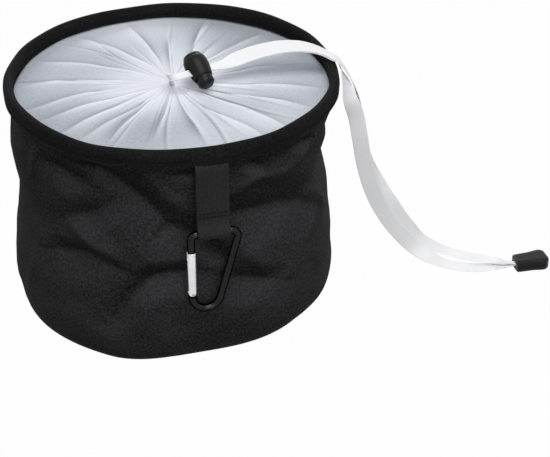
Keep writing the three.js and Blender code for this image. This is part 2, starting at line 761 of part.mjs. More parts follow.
const rightRoute = [
  [[103.6, -14, 145], [0.13, 0.99, 0], ribbonWidth],
  [[108.4, -13.4, 136.3], [0.1, 1, 0], ribbonWidth],
  [[112.9, -13.6, 124.1], [0.08, 1, 0], ribbonWidth],
  [[115.6, -14.2, 110.5], [0.08, 1, 0], ribbonWidth],
  [[118.8, -14, 94.5], [0.15, 0.98, 0.05], ribbonWidth],
  [[122.8, -13.6, 76.4], [0.45, 0.87, 0.15], ribbonWidth],
  [[130.3, -13.1, 56.7], [0.82, 0.45, 0.35], ribbonWidth],
  [[139.8, -12.6, 39.3], [0.85, 0.1, 0.5], ribbonWidth],
  [[150.5, -11.4, 22.4], [0.75, 0.2, 0.6], ribbonWidth],
  [[161.9, -10.4, 9], [0.55, 0.7, 0.45], ribbonWidth],
  [[176, -15, 2.4], [0.5, 0.86, 0], ribbonWidth],
  [[188.8, -25.6, 2], [0.5, 0.86, 0], ribbonWidth],
  [[201, -34.4, 2.4], [0.4, 0.92, 0], narrowingWidth],
  [[208, -42.4, 4.6], [0.15, 0.99, 0], bunchWidth],
  [[cordEndMouth.x, cordEndMouth.y, upperStrand], [0, 1, 0], bunchWidth],
  [[ribbonEnd, cordEndMouth.y, upperStrand], [0, 1, 0], bunchWidth],
];

// Corners of a flat ribbon at each row of its route; a shared row is set off to one side of its point
function ribbon(ownRoute, side) {
  const rows = [...sharedRoute, ...ownRoute];
  const points = rows.map(([point]) => new THREE.Vector3(...point));
  const rings = rows.map(([, direction, width], i) => {
    const stop = i < sharedRoute.length ? sharedRoute.length - 1 : points.length - 1;
    const ahead = points[Math.min(i + 1, stop)];
    const behind = points[Math.max(i - 1, 0)];
    const along = ahead.clone().sub(behind).normalize();
    const across = new THREE.Vector3(...direction);
    across.addScaledVector(along, -across.dot(along)).normalize();
    const outOfFace = along.clone().cross(across);
    const thickness = ribbonThickness * ribbonWidth / width;
    const offset = i < sharedRoute.length ? side * (thickness + clearance) / 2 : 0;
    const middle = points[i].clone().addScaledVector(outOfFace, offset);
    const corner = (a, b) => middle.clone()
      .addScaledVector(across, side * a * width / 2)
      .addScaledVector(outOfFace, b * thickness / 2);
    return [corner(-1, -1), corner(1, -1), corner(1, 1), corner(-1, 1)];
  });
  return skin(rings, false);
}

// Cord end: two half shells closed over the ribbon's knot
const cordEnd = new THREE.Group();
cordEnd.position.copy(cordEndMouth);
basket.add(cordEnd);

function cordEndShell() {
  const shape = new THREE.Shape();
  const knobStart = cordEndLength - cordEndKnobLength;
  const inset = cordEndBevel;
  const side = (x, width) => [x, width / 2 - inset];
  const half = [
    side(inset, cordEndMouthWidth), side(knobStart, cordEndNeckWidth),
    side(knobStart + cordEndKnobStep, cordEndKnobWidth),
    side(cordEndLength - 2 * cordEndKnobStep, cordEndKnobWidth),
    side(cordEndLength - inset, cordEndTipWidth),
  ];
  const mirrored = half.map(([x, y]) => [x, -y]).reverse();
  shape.setFromPoints([...half, ...mirrored].map(([x, y]) => new THREE.Vector2(x, y)));
  const geometry = new THREE.ExtrudeGeometry(shape, {
    depth: cordEndHeight - 2 * cordEndBevel,
    bevelEnabled: true,
    bevelSize: cordEndBevel,
    bevelThickness: cordEndBevel,
    bevelSegments: cordEndBevelSteps,
    curveSegments: 1,
  });
  geometry.translate(0, 0, cordEndBevel);
  return geometry;
}

function knotShape(extra) {
  const geometry = new THREE.SphereGeometry(1, knotSides, knotRings);
  geometry.scale(knotLength / 2 + extra, knotRadius + extra, knotRadius + extra);
  geometry.translate(knotSetback + knotLength / 2, 0, cordEndMiddle);
  return geometry;
}

function cordEndHalf(from, to) {
  const reach = 2 * cordEndLength;
  const channel = block(
    [-cordEndLength, -bunchWidth / 2 - clearance, cordEndMiddle - bundleHalf - clearance],
    [knotSetback + knotLength / 2, bunchWidth / 2 + clearance, cordEndMiddle + bundleHalf + clearance],
  );
  const half = shared(cordEndShell(), block([-reach, -reach, from], [reach, reach, to]));
  return cut(half, channel, knotShape(clearance));
}

// Hanging tab: webbing folded round the carabiner's bar and sewn together above it
const tabHalf = webbingThickness;
const tabPlane = -(rimRadius + clearance + tabHalf);
const hingeHeight = bindingBottom + tabRise;
const loopInner = rodRadius + tabPlay;
const loopOuter = loopInner + webbingThickness;
const barLift = loopInner - rodRadius - clearance;
const barHeight = hingeHeight - tabLength;
const tab = new THREE.Group();
tab.position.set(0, tabPlane, hingeHeight);
basket.add(tab);

function hangTab() {
  const loopMiddle = barLift - tabLength;
  const shape = new THREE.Shape();
  shape.moveTo(tabHalf, 0);
  shape.absarc(0, 0, tabHalf, 0, Math.PI, false);
  shape.lineTo(-tabHalf, loopMiddle + loopTaper);
  shape.lineTo(-loopOuter * Math.cos(loopFlare), loopMiddle + loopOuter * Math.sin(loopFlare));
  shape.absarc(0, loopMiddle, loopOuter, Math.PI - loopFlare, 2 * Math.PI + loopFlare, false);
  shape.lineTo(tabHalf, loopMiddle + loopTaper);
  const hole = new THREE.Path();
  hole.absarc(0, loopMiddle, loopInner, 0, 2 * Math.PI, true);
  shape.holes.push(hole);
  const geometry = new THREE.ExtrudeGeometry(shape, {
    depth: tabWidth,
    bevelEnabled: false,
    curveSegments: tabArcSteps,
  });
  geometry.translate(0, 0, -tabWidth / 2);
  geometry.applyMatrix4(new THREE.Matrix4().makeBasis(
    new THREE.Vector3(0, 1, 0), new THREE.Vector3(0, 0, 1), new THREE.Vector3(1, 0, 0),
  ));
  return geometry;
}

// Carabiner, drawn upright about the middle of its bar
const carabiner = new THREE.Group();
carabiner.position.set(0, tabPlane, barHeight);
basket.add(carabiner);

const barHalf = tabWidth / 2 + barPlay;
const gateX = -(barHalf + noseBend);
const noseEnd = -(noseBend + noseDrop);
const spineOutX = Math.cos(spineLean);
const spineOutZ = -Math.sin(spineLean);
const spineReach = barHalf * spineOutX - spineBend * spineOutZ + spineBend;
const bowSpan = spineReach - gateX * spineOutX + carabinerDrop * spineOutZ;
const bowRadius = bowSpan / (1 + spineOutX + spineOutZ);
const bowX = gateX + bowRadius;
const bowZ = bowRadius - carabinerDrop;
const heelEnd = bowZ + heelLength;
const pivotZ = heelEnd + clearance + gateRadius;
const gateTop = noseEnd - clearance;
const bladeHalf = bladeThickness / 2;
const cheekHalf = bladeHalf + clearance;
const pinHole = rivetRadius + clearance;
const latchPinX = gateX + latchPinOffset;
const latchPinZ = gateTop - latchPinDrop;
const latchPinHole = latchPinRadius + clearance;
const latchFloor = gateTop - latchDepth;
const gateReach = 2 * gateRadius;
const gateSlotTop = pivotZ + tangRadius + clearance;
const gateBoreTop = latchFloor - gatePlug;
const gateBoreRadius = gateSpringRadius + gateSpringWire / 2 + clearance;

function carabinerBody() {
  const path = new THREE.Path();
  path.moveTo(gateX, noseEnd);
  path.lineTo(gateX, -noseBend);
  path.absarc(-barHalf, -noseBend, noseBend, Math.PI, Math.PI / 2, true);
  path.lineTo(barHalf, 0);
  path.absarc(barHalf, -spineBend, spineBend, Math.PI / 2, -spineLean, true);
  path.lineTo(bowX + bowRadius * spineOutX, bowZ + bowRadius * spineOutZ);
  path.absarc(bowX, bowZ, bowRadius, -spineLean, -Math.PI, true);
  path.lineTo(gateX, heelEnd);
  const rod = swept(new UprightPath(path), rodSteps, polygon(rodRadius, rodSides));
  const tangNeck = block(
    [gateX - tangRadius, -bladeHalf, heelEnd - weldDepth], [gateX + tangRadius, bladeHalf, pivotZ],
  );
  const tangEye = pinAcross(tangRadius, bladeHalf, gateX, pivotZ, eyeSides);
  const blade = block(
    [gateX - bladeOuter, -bladeHalf, latchFloor + latchTipGap],
    [gateX + bladeInner, bladeHalf, noseEnd + weldDepth],
  );
  const notch = block(
    [latchPinX - latchPinHole, -gateReach, latchPinZ - latchPinHole],
    [gateX + gateReach, gateReach, latchPinZ + latchPinHole],
  );
  const hooked = cut(blade, notch);
  return cut(join(rod, tangNeck, tangEye, hooked), pinAcross(pinHole, gateReach, gateX, pivotZ));
}

function carabinerGate() {
  const length = gateTop - pivotZ + gateRadius;
  const tube = new THREE.CylinderGeometry(gateRadius, gateRadius, length, gateSides);
  tube.rotateX(Math.PI / 2);
  tube.translate(gateX, 0, gateTop - length / 2);
  const outline = join(
    pinAcross(gateRadius, gateReach, gateX, pivotZ, eyeSides),
    block([gateX - gateReach, -gateReach, pivotZ], [gateX + gateReach, gateReach, gateTop + gateReach]),
  );
  const tangSlot = block(
    [gateX - gateReach, -cheekHalf, pivotZ - gateReach], [gateX + gateReach, cheekHalf, gateSlotTop],
  );
  const latchSlot = block(
    [gateX - gateReach, -cheekHalf, latchFloor],
    [gateX + bladeInner + clearance, cheekHalf, gateTop + gateReach],
  );
  const boreLength = gateBoreTop - pivotZ;
  const bore = new THREE.CylinderGeometry(gateBoreRadius, gateBoreRadius, boreLength, rodSides);
  bore.rotateX(Math.PI / 2);
  bore.translate(gateX, 0, gateBoreTop - boreLength / 2);
  const rivetHole = pinAcross(pinHole, gateReach, gateX, pivotZ);
  const latchHole = pinAcross(latchPinHole, gateReach, latchPinX, latchPinZ);
  return cut(shared(tube, outline), tangSlot, latchSlot, bore, rivetHole, latchHole);
}

function gateSpring() {
  const seat = clearance + gateSpringWire / 2;
  const bottom = pivotZ + tangRadius + seat;
  const top = gateBoreTop - seat;
  const turns = Math.round((top - bottom) / gateSpringPitch);
  const geometry = coil(gateSpringRadius, gateSpringWire, bottom, top, turns, 'gate_spring');
  geometry.translate(gateX, 0, 0);
  return geometry;
}

// The whole object
add('side_wall', sideWall(), blackCloth);
add('base_panel', basePanel(), blackCloth);
add('base_seam_tape', baseSeamTape(), blackTape);
add('side_seam_tape', sideSeamTape(), blackTape);
add('rim_binding', rimBinding(), blackTape);
add('rim_hoop', rimHoop(), springSteel);
add('hoop_ferrule', hoopFerrule(), springSteel);
add('mesh_cover', meshCover(), whiteNet);
add('cover_hem', coverHem(), whiteNet);
add('drawstring_loop', drawstringLoop(), whiteRibbon);
add('ribbon_left', ribbon(leftRoute, -1), whiteRibbon);
add('ribbon_right', ribbon(rightRoute, 1), whiteRibbon);
add('lock_barrel', lockBarrel(), blackPlastic, lock);
add('lock_plunger', lockPlunger(), blackPlastic, lock);
add('lock_spring', lockSpring(), springSteel, lock);
add('cord_end_lower', cordEndHalf(0, cordEndMiddle - clearance / 2), blackPlastic, cordEnd);
add('cord_end_upper', cordEndHalf(cordEndMiddle + clearance / 2, cordEndHeight), blackPlastic, cordEnd);
add('drawstring_knot', knotShape(0), whiteRibbon, cordEnd);
add('hang_tab', hangTab(), greyWebbing, tab);
add('carabiner_body', carabinerBody(), blackMetal, carabiner);
add('carabiner_gate', carabinerGate(), brightMetal, carabiner);
add('gate_rivet', pinAcross(rivetRadius, gateRadius + rivetProud, gateX, pivotZ), brightMetal, carabiner);
add('gate_latch_pin', pinAcross(latchPinRadius, gateRadius, latchPinX, latchPinZ), brightMetal, carabiner);
add('gate_spring', gateSpring(), springSteel, carabiner);

export default basket;
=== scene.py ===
# Looks of the hanging peg basket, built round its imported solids.
# Shapes are worked out in millimetres, in the solids' own frame, and become metres in as_mesh.

import math

import bmesh
import bpy
import numpy as np
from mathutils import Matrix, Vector


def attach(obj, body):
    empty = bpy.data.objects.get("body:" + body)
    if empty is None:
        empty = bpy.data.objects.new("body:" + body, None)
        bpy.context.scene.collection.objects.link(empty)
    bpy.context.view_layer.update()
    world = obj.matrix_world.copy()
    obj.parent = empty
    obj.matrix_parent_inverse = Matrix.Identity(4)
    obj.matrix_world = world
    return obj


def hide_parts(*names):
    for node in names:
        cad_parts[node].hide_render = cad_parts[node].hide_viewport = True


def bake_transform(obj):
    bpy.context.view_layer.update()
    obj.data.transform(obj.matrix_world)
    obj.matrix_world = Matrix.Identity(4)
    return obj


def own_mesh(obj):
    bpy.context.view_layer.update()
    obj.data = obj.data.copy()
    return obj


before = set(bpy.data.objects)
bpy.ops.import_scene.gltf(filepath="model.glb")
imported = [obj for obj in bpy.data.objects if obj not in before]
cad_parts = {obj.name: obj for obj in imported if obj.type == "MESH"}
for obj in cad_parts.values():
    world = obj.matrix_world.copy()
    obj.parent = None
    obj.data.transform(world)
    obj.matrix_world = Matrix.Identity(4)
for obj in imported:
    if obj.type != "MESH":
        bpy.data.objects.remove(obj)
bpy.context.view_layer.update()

MM = 0.001
FULL_TURN = 2 * math.pi

# Sizes that repeat the solids'
RIM_RADIUS = 100.0
RIM_INNER = 94.2
RIM_BOTTOM = 141.0
RIM_FOLD_HEIGHT = 147.1
RIM_FOLD_MIDDLE = 97.1
TAPE_THICKNESS = 1.2
WALL_TOP = 145.4
COVER_EDGE = 140.2
COVER_REACH = 96.0
CASING_RADIUS = 9.0
CASING_HOLE = 5.0
CASING_TOP = 140.5
LOCK_CENTRE = np.array([14.2, -13.0, 154.2])
LOCK_ALONG_RIBBON = np.array([0.9563, 0.2924, 0.0])
LOCK_ALONG_BUTTON = np.array([0.2506, -0.8197, -0.5150])
CORD_END_MOUTH = np.array([213.0, -44.4, 0.0])
TAB_PLANE = -101.5
BAR_HEIGHT = 97.75
GATE_X = -13.1
PIVOT_Z = -38.585
GATE_TOP = -11.2

# Radius for lengths around the bag
MEAN_RADIUS = 96.0

# Edges of moulded and metal pieces
BEVEL_SEGMENTS = 2
BEVEL_ANGLE = math.radians(35)
HARD_EDGE_ANGLE = math.radians(40)

# Mesh helpers


def around(radius, angle, height):
    """Points at an angle measured from -Y towards +X."""
    radius, angle, height = np.broadcast_arrays(radius, angle, height)
    return np.stack([radius * np.sin(angle), -radius * np.cos(angle), height], axis=-1)


def eased(xs, ys, x):
    """A smooth curve through the points (xs, ys), read at x."""
    xs = np.asarray(xs, float)
    ys = np.asarray(ys, float)
    slopes = np.gradient(ys, xs)
    k = np.clip(np.searchsorted(xs, x) - 1, 0, len(xs) - 2)
    span = xs[k + 1] - xs[k]
    t = np.clip((x - xs[k]) / span, 0, 1)
    start = ys[k] * (1 + 2 * t) * (1 - t) ** 2 + span * slopes[k] * t * (1 - t) ** 2
    end = ys[k + 1] * t ** 2 * (3 - 2 * t) + span * slopes[k + 1] * t ** 2 * (t - 1)
    return start + end


def smoothstep(low, high, value):
    t = np.clip((value - low) / (high - low), 0, 1)
    return t * t * (3 - 2 * t)


def bell(distance, width):
    return np.exp(-((distance / width) ** 2))


def sines(angle, terms):
    """A sum of waves around, each with a size, a number of turns and a phase."""
    return sum(size * np.sin(turns * angle + phase) for size, turns, phase in terms)


def arc(middle, radius, start, end, steps):
    """Points along an arc in a plane."""
    angles = np.linspace(start, end, steps)
    return [(middle[0] + radius * math.cos(t), middle[1] + radius * math.sin(t)) for t in angles]


def steps_round(count):
    """Equal steps once around, in radians."""
    return np.arange(count) * FULL_TURN / count


def unit(vectors):
    """Each row's direction."""
    return vectors / np.linalg.norm(vectors, axis=1, keepdims=True)


def reached_along(points):
    """Distance from a path's start to each of its points."""
    return np.concatenate([[0], np.cumsum(np.linalg.norm(np.diff(points, axis=0), axis=1))])


def read_path(reached, points, at):
    """A smooth path through points, read at distances along it."""
    return np.stack([eased(reached, column, at) for column in points.T], axis=-1)


def loft(rings, closed=False):
    """A skin over rings of equal length, which are round; unless the last joins the first, both get caps."""
    rings = np.asarray(rings, float)
    rows, columns = rings.shape[:2]
    faces = []
    for i in range(rows if closed else rows - 1):
        below = i * columns
        above = (i + 1) % rows * columns
        for j in range(columns):
            k = (j + 1) % columns
            faces.append((below + j, below + k, above + k, above + j))
    if not closed:
        faces.append(tuple(range(columns)))
        faces.append(tuple(range((rows - 1) * columns, rows * columns)))
    return rings.reshape(-1, 3), faces


def lathe(profile, sides):
    """A body turned about local z from (radius, z) points; its ends lie on the axis or are closed flat."""
    angles = steps_round(sides)
    return loft([
        np.stack([r * np.cos(angles), r * np.sin(angles), np.full(sides, z)], axis=-1) for r, z in profile
    ])


def box_shape(low, high):
    """A block between two corners."""
    (x0, y0, z0), (x1, y1, z1) = low, high
    ring = [(x0, y0), (x1, y0), (x1, y1), (x0, y1)]
    return loft([[(x, y, z) for x, y in ring] for z in (z0, z1)])


def path_frames(points, across_hint):
    """Directions across and out of the face at each point of a path."""
    along = unit(np.gradient(points, axis=0))
    across = unit(across_hint - along * np.sum(across_hint * along, axis=1, keepdims=True))
    return across, np.cross(along, across)


def tube(points, radius, sides, closed=False):
    """A round tube along points; an array of radii tapers it."""
    points = np.asarray(points, float)
    if closed:
        along = unit(np.roll(points, -1, axis=0) - np.roll(points, 1, axis=0))
    else:
        along = unit(np.gradient(points, axis=0))
    side = np.array([0.0, 1.0, 0.0]) if abs(along[0][1]) < 0.9 else np.array([1.0, 0.0, 0.0])
    angles = steps_round(sides)
    rings = []
    for point, direction, size in zip(points, along, np.broadcast_to(radius, len(points))):
        side = side - direction * side.dot(direction)
        side /= np.linalg.norm(side)
        other = np.cross(direction, side)
        rings.append(point + size * (np.outer(np.cos(angles), side) + np.outer(np.sin(angles), other)))
    return loft(rings, closed)


def strip(points, across, out, widths, thickness, sides, dip=None):
    """Rings of a flat strip with thicker, rounded edges; dip(u, width) bends it out of its plane."""
    u = np.sin(np.linspace(-math.pi / 2, math.pi / 2, sides))
    rounded = np.sqrt(np.clip(1 - np.abs(u) ** 14, 0.02, 1))
    selvedge = 1 + 0.25 * bell(np.abs(u) - 0.9, 0.06)
    half = thickness / 2 * rounded * selvedge
    rings = []
    for point, side, face, width in zip(points, across, out, widths):
        bend = dip(u, width) if dip else np.zeros(sides)
        middle = point + np.outer(u * width / 2, side) + np.outer(bend, face)
        top = middle + np.outer(half, face)
        bottom = middle - np.outer(half, face)
        rings.append(np.concatenate([top, bottom[::-1]]))
    return np.array(rings), np.concatenate([u, u[::-1]])


def strip_mesh(name, rings, u, width, lengths):
    """A closed mesh over a strip's rings, with its weave map across and along."""
    rows, columns = rings.shape[:2]
    mesh = as_mesh(name, *loft(rings))
    set_weave_map(mesh, np.stack([np.tile(u * width / 2, rows), np.repeat(lengths, columns)], axis=-1))
    return mesh


def ring_mesh(name, rings, angles, length, travelled, tones=None):
    """A mesh over rings round the bag, mapped by length from the back and by distance over the rings."""
    mesh = as_mesh(name, *loft(rings, closed=True))
    u = np.tile((angles + math.pi) % FULL_TURN / FULL_TURN * length, len(rings))
    v = np.concatenate([np.broadcast_to(distance, len(angles)) for distance in travelled])
    set_weave_map(mesh, np.stack([u, v], axis=-1), length)
    if tones is not None:
        set_tone(mesh, np.concatenate([np.broadcast_to(tone, len(angles)) for tone in tones]))
    return mesh


def joined(*shapes):
    """Several (points, faces) shapes as one."""
    points, faces, count = [], [], 0
    for shape_points, shape_faces in shapes:
        points.append(np.asarray(shape_points, float))
        faces.extend(tuple(i + count for i in face) for face in shape_faces)
        count += len(points[-1])
    return np.concatenate(points), faces


def as_mesh(name, points, faces, weld=False):
    """A mesh in metres with its faces turned outwards."""
    mesh = bpy.data.meshes.new(name)
    mesh.from_pydata((np.asarray(points, float) * MM).tolist(), [], faces)
    work = bmesh.new()
    work.from_mesh(mesh)
    if weld:
        bmesh.ops.remove_doubles(work, verts=work.verts, dist=2e-6)
    bmesh.ops.recalc_face_normals(work, faces=work.faces)
    work.to_mesh(mesh)
    work.free()
    return mesh


def set_weave_map(mesh, uv, period=0.0):
    """Writes a map in millimetres, one pair a point; a face that crosses the period's end is unrolled."""
    loops = np.zeros(len(mesh.loops), int)
    mesh.loops.foreach_get("vertex_index", loops)
    starts = np.zeros(len(mesh.polygons), int)
    mesh.polygons.foreach_get("loop_start", starts)
    corners = np.asarray(uv, float)[loops]
    if period:
        counts = np.diff(np.append(starts, len(loops)))
        largest = np.repeat(np.maximum.reduceat(corners[:, 0], starts), counts)
        corners[:, 0] += np.where(largest - corners[:, 0] > period / 2, period, 0)
    layer = mesh.uv_layers.new(name="weave")
    layer.data.foreach_set("uv", corners.ravel())


def set_tone(mesh, tone):
    layer = mesh.attributes.new("tone", "FLOAT", "POINT")
    layer.data.foreach_set("value", np.asarray(tone, np.float32).ravel())


def add_object(name, data):
    made = bpy.data.objects.new(name, data)
    bpy.context.scene.collection.objects.link(made)
    return made


def place(mesh, name, material, body=None, replaces=(), hard=False):
    """Puts a mesh in the scene as a piece that rides on a body; a hard one has sharp edges."""
    mesh.polygons.foreach_set("use_smooth", np.ones(len(mesh.polygons), bool))
    if hard:
        mesh.set_sharp_from_angle(angle=HARD_EDGE_ANGLE)
    mesh.materials.clear()
    mesh.materials.append(material)
    piece = add_object(name, mesh)
    if replaces:
        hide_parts(*replaces)
    if body:
        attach(piece, body)
    return piece


def scratch(points, faces):
    """A loose object for cutting with, which doesn't stay in the scene."""
    return add_object("scratch", as_mesh("scratch", points, faces, weld=True))


def carved(name, shape, steps, move, bevel):
    """A shape with others joined to it or cut from it, moved into place, with its edges rounded."""
    work = scratch(*move(shape))
    tools = []
    for operation, tool in steps:
        tools.append(scratch(*move(tool)))
        modifier = work.modifiers.new(operation, "BOOLEAN")
        modifier.operation = operation
        modifier.solver = "EXACT"
        modifier.object = tools[-1]
    modifier = work.modifiers.new("round", "BEVEL")
    modifier.width = bevel * MM
    modifier.segments = BEVEL_SEGMENTS
    modifier.limit_method = "ANGLE"
    modifier.angle_limit = BEVEL_ANGLE
    modifier.use_clamp_overlap = True
    depsgraph = bpy.context.evaluated_depsgraph_get()
    mesh = bpy.data.meshes.new_from_object(work.evaluated_get(depsgraph))
    mesh.name = name
    for made in [work, *tools]:
        bpy.data.objects.remove(made)
    return mesh


def moved(shape, origin, x_axis, y_axis, z_axis):
    """A shape's points taken from local axes to the frame."""
    points, faces = shape
    basis = np.stack([x_axis, y_axis, z_axis])
    return np.asarray(points, float) @ basis + np.asarray(origin), faces


def shifted(shape, offset):
    points, faces = shape
    return np.asarray(points, float) + np.asarray(offset), faces


# Material helpers


class Signal:
    """A value in a material's nodes, which adds, subtracts and multiplies like a number."""

    def __init__(self, socket):
        self.socket = socket
        self.tree = socket.id_data

    def __add__(self, other):
        return calc("ADD", self, other)

    def __sub__(self, other):
        return calc("SUBTRACT", self, other)

    def __rsub__(self, other):
        return calc("SUBTRACT", other, self)

    def __mul__(self, other):
        return calc("MULTIPLY", self, other)


def set_inputs(node, values):
    """Sets a node's inputs to numbers or feeds them with signals."""
    for name, value in values.items():
        if isinstance(value, Signal):
            value.tree.links.new(value.socket, node.inputs[name])
        else:
            node.inputs[name].default_value = value


def add_node(tree, kind, values):
    made = tree.nodes.new("ShaderNode" + kind)
    set_inputs(made, values)
    return made


def calc(operation, *values):
    """A Math node of signals and numbers."""
    tree = next(value.tree for value in values if isinstance(value, Signal))
    made = add_node(tree, "Math", dict(enumerate(values)))
    made.operation = operation
    return Signal(made.outputs[0])


def ripple(value, pitch=1.0):
    """Rounded ridges, one a pitch."""
    return calc("ABSOLUTE", calc("SINE", value * (math.pi / pitch)))


def split(vector):
    made = add_node(vector.tree, "SeparateXYZ", {0: vector})
    return Signal(made.outputs[0]), Signal(made.outputs[1])


def noise(vector, scale, detail, stretch=(1, 1, 1)):
    mapping = add_node(vector.tree, "Mapping", {"Scale": stretch, "Vector": vector})
    levels = {"Scale": scale, "Detail": detail, "Vector": Signal(mapping.outputs[0])}
    return Signal(add_node(vector.tree, "TexNoise", levels).outputs["Fac"])


def tone_of(vector):
    """The tone that a mesh carries at its points; on the wall and the net it holds painted light and shade.
    """
    made = add_node(vector.tree, "Attribute", {})
    made.attribute_name = "tone"
    return Signal(made.outputs["Fac"])


def ramp(value, stops):
    """Colours at rising positions, read at a value."""
    made = add_node(value.tree, "ValToRGB", {"Fac": value})
    elements = made.color_ramp.elements
    while len(elements) < len(stops):
        elements.new(0.5)
    for element, (position, color) in zip(elements, stops):
        element.position = position
        element.color = (*color, 1)
    return Signal(made.outputs["Color"])


def spread(value, low, high):
    """A value from 0 to 1 taken to the range from low to high."""
    made = add_node(value.tree, "MapRange", {"Value": value, "To Min": low, "To Max": high})
    return Signal(made.outputs[0])


def empty_material(name):
    material = bpy.data.materials.new(name)
    material.use_nodes = True
    material.node_tree.nodes.clear()
    return material, material.node_tree


def new_material(name, weave_map):
    """A material, its shader, and the weave map in millimetres or the piece's own place in metres."""
    material, tree = empty_material(name)
    shader = add_node(tree, "BsdfPrincipled", {})
    add_node(tree, "OutputMaterial", {0: Signal(shader.outputs[0])})
    if weave_map:
        made = add_node(tree, "UVMap", {})
        made.uv_map = "weave"
        return material, shader, Signal(made.outputs[0])
    return material, shader, Signal(add_node(tree, "TexCoord", {}).outputs["Object"])


def set_surface(shader, color, roughness, relief, depth, levels):
    """Wires a shader: its colour, its roughness, a relief so many millimetres deep, and plain levels."""
    bump = add_node(relief.tree, "Bump", {"Distance": depth * MM, "Height": relief})
    made = {"Base Color": color, "Roughness": roughness, "Normal": Signal(bump.outputs[0])}
    set_inputs(shader, {**made, **levels})


def thread_pattern(vector, across_pitch, along_pitch):
    """Height of a plain weave: threads that pass over and under each other."""
    x, y = split(vector)
    x = calc("DIVIDE", x, across_pitch)
    y = calc("DIVIDE", y, along_pitch)
    check = calc("PINGPONG", calc("FLOOR", x) + calc("FLOOR", y), 1.0)
    crossing = ripple(x) * ripple(y)
    raised = calc("POWER", crossing * check, 0.6) + crossing * (1.0 - check) * 0.55
    return calc("MINIMUM", raised, 1.0)


def cloth_material(name, dark, light, pitch, roughness, relief, grain, along_pitch=None, with_painted_light=False):
    """Woven cloth with slubs and specks; one with painted light is also lightened or darkened by the painted
    light and shade in its mesh's tone.
    """
    material, shader, vector = new_material(name, True)
    threads = thread_pattern(vector, pitch, along_pitch or pitch)
    slubs = noise(vector, scale=0.55, detail=3, stretch=(1, 0.25, 1))
    specks = noise(vector, scale=0.6, detail=4)
    patches = noise(vector, scale=0.03, detail=3)
    height = threads * spread(slubs, 0.45, 1.25)
    shade = height * 0.35 + patches * 0.4 + spread(specks, 0.12 - grain, 0.12 + grain)
    if with_painted_light:
        # The mesh's tone adds painted light and shade to the cloth's colour
        shade = shade + (tone_of(vector) * 0.9 - 0.45)
    color = ramp(shade, [(0.1, dark), (0.85, light)])
    levels = {"Specular IOR Level": 0.03, "Sheen Weight": 0.01, "Sheen Roughness": 0.35}
    rough = spread(slubs, roughness - 0.08, roughness + 0.08)
    set_surface(shader, color, rough, height, depth=relief, levels=levels)
    return material


def net_material():
    """Fine net: crossing threads over a tone that pales where the net is bunched and holds the painted light
    and shade of its folds.
    """
    material, shader, vector = new_material("net", True)
    x, y = split(vector)
    threads = 1.0 - calc("MINIMUM", ripple(x + y, NET_PITCH), ripple(x - y, NET_PITCH))
    mottle = noise(vector, scale=0.5, detail=4)
    shade = tone_of(vector) + mottle * 0.3 + threads * 0.12 - 0.23
    levels = {"Specular IOR Level": 0.2, "Sheen Weight": 0.1}
    rough = spread(mottle, 0.75, 0.95)
    set_surface(shader, ramp(shade, NET_TONES), rough, threads, depth=0.03, levels=levels)
    return material


def satin_material():
    """White satin ribbon: fine ribs across it and a firmer selvedge along both edges."""
    material, shader, vector = new_material("satin", True)
    x, y = split(vector)
    grain = noise(vector, scale=1.2, detail=2, stretch=(2.5, 0.2, 1))
    selvedge = calc("GREATER_THAN", calc("ABSOLUTE", x), SELVEDGE_PLACE)
    height = ripple(y, RIB_PITCH) * 0.5 + selvedge * 0.5
    color = ramp(grain * 0.6 + height * 0.4, RIBBON_TONES)
    levels = {"Specular IOR Level": 0.4, "Sheen Weight": 0.15}
    set_surface(shader, color, spread(grain, 0.42, 0.58), height, depth=0.05, levels=levels)
    return material


def plastic_material(name, dark, light, roughness):
    """Moulded plastic with a fine spark-eroded grain and a few rubbed places."""
    material, shader, vector = new_material(name, False)
    grain = noise(vector, scale=2600, detail=2)
    rubbed = noise(vector, scale=160, detail=4)
    color = ramp(grain * 0.4 + rubbed * 0.6, [(0.25, dark), (0.75, light)])
    rough = spread(rubbed, roughness + 0.1, roughness - 0.1)
    set_surface(shader, color, rough, grain, depth=0.03, levels={"Specular IOR Level": 0.14})
    return material


def metal_material(name, dark, light, roughness, stretch, edge=1.0):
    """Metal with fine drawing lines along its length; a low edge value darkens it where it turns away."""
    material, shader, vector = new_material(name, False)
    lines = noise(vector, scale=900, detail=3, stretch=stretch)
    wear = noise(vector, scale=220, detail=4)
    color = ramp(lines * 0.6 + wear * 0.4, [(0.25, dark), (0.75, light)])
    levels = {"Metallic": 1.0, "Specular Tint": (edge, edge, edge, 1)}
    rough = spread(wear, roughness - 0.06, roughness + 0.06)
    set_surface(shader, color, rough, lines, depth=0.01, levels=levels)
    return material


def thread_material(name, dark, light):
    """Sewing thread: fine twisted fibres."""
    material, shader, vector = new_material(name, False)
    fibres = noise(vector, scale=3200, detail=2, stretch=(1, 1, 2.5))
    color = ramp(fibres, [(0.3, dark), (0.7, light)])
    rough = spread(fibres, 0.6, 0.8)
    set_surface(shader, color, rough, fibres, depth=0.05, levels={"Specular IOR Level": 0.03})
    return material


def grey(level, blue):
    """A grey that leans a little to blue."""
    return (level, level, blue)


# Colours and patterns

NET_PITCH = 0.9
NET_TONES = [
    (0.0, (0.32, 0.345, 0.39)), (0.3, (0.52, 0.55, 0.61)),
    (0.6, (0.7, 0.73, 0.8)), (1.0, (0.86, 0.87, 0.95)),
]
RIB_PITCH = 0.45
SELVEDGE_PLACE = 4.3
RIBBON_TONES = [(0.1, (0.82, 0.825, 0.845)), (0.8, (0.9, 0.9, 0.91))]

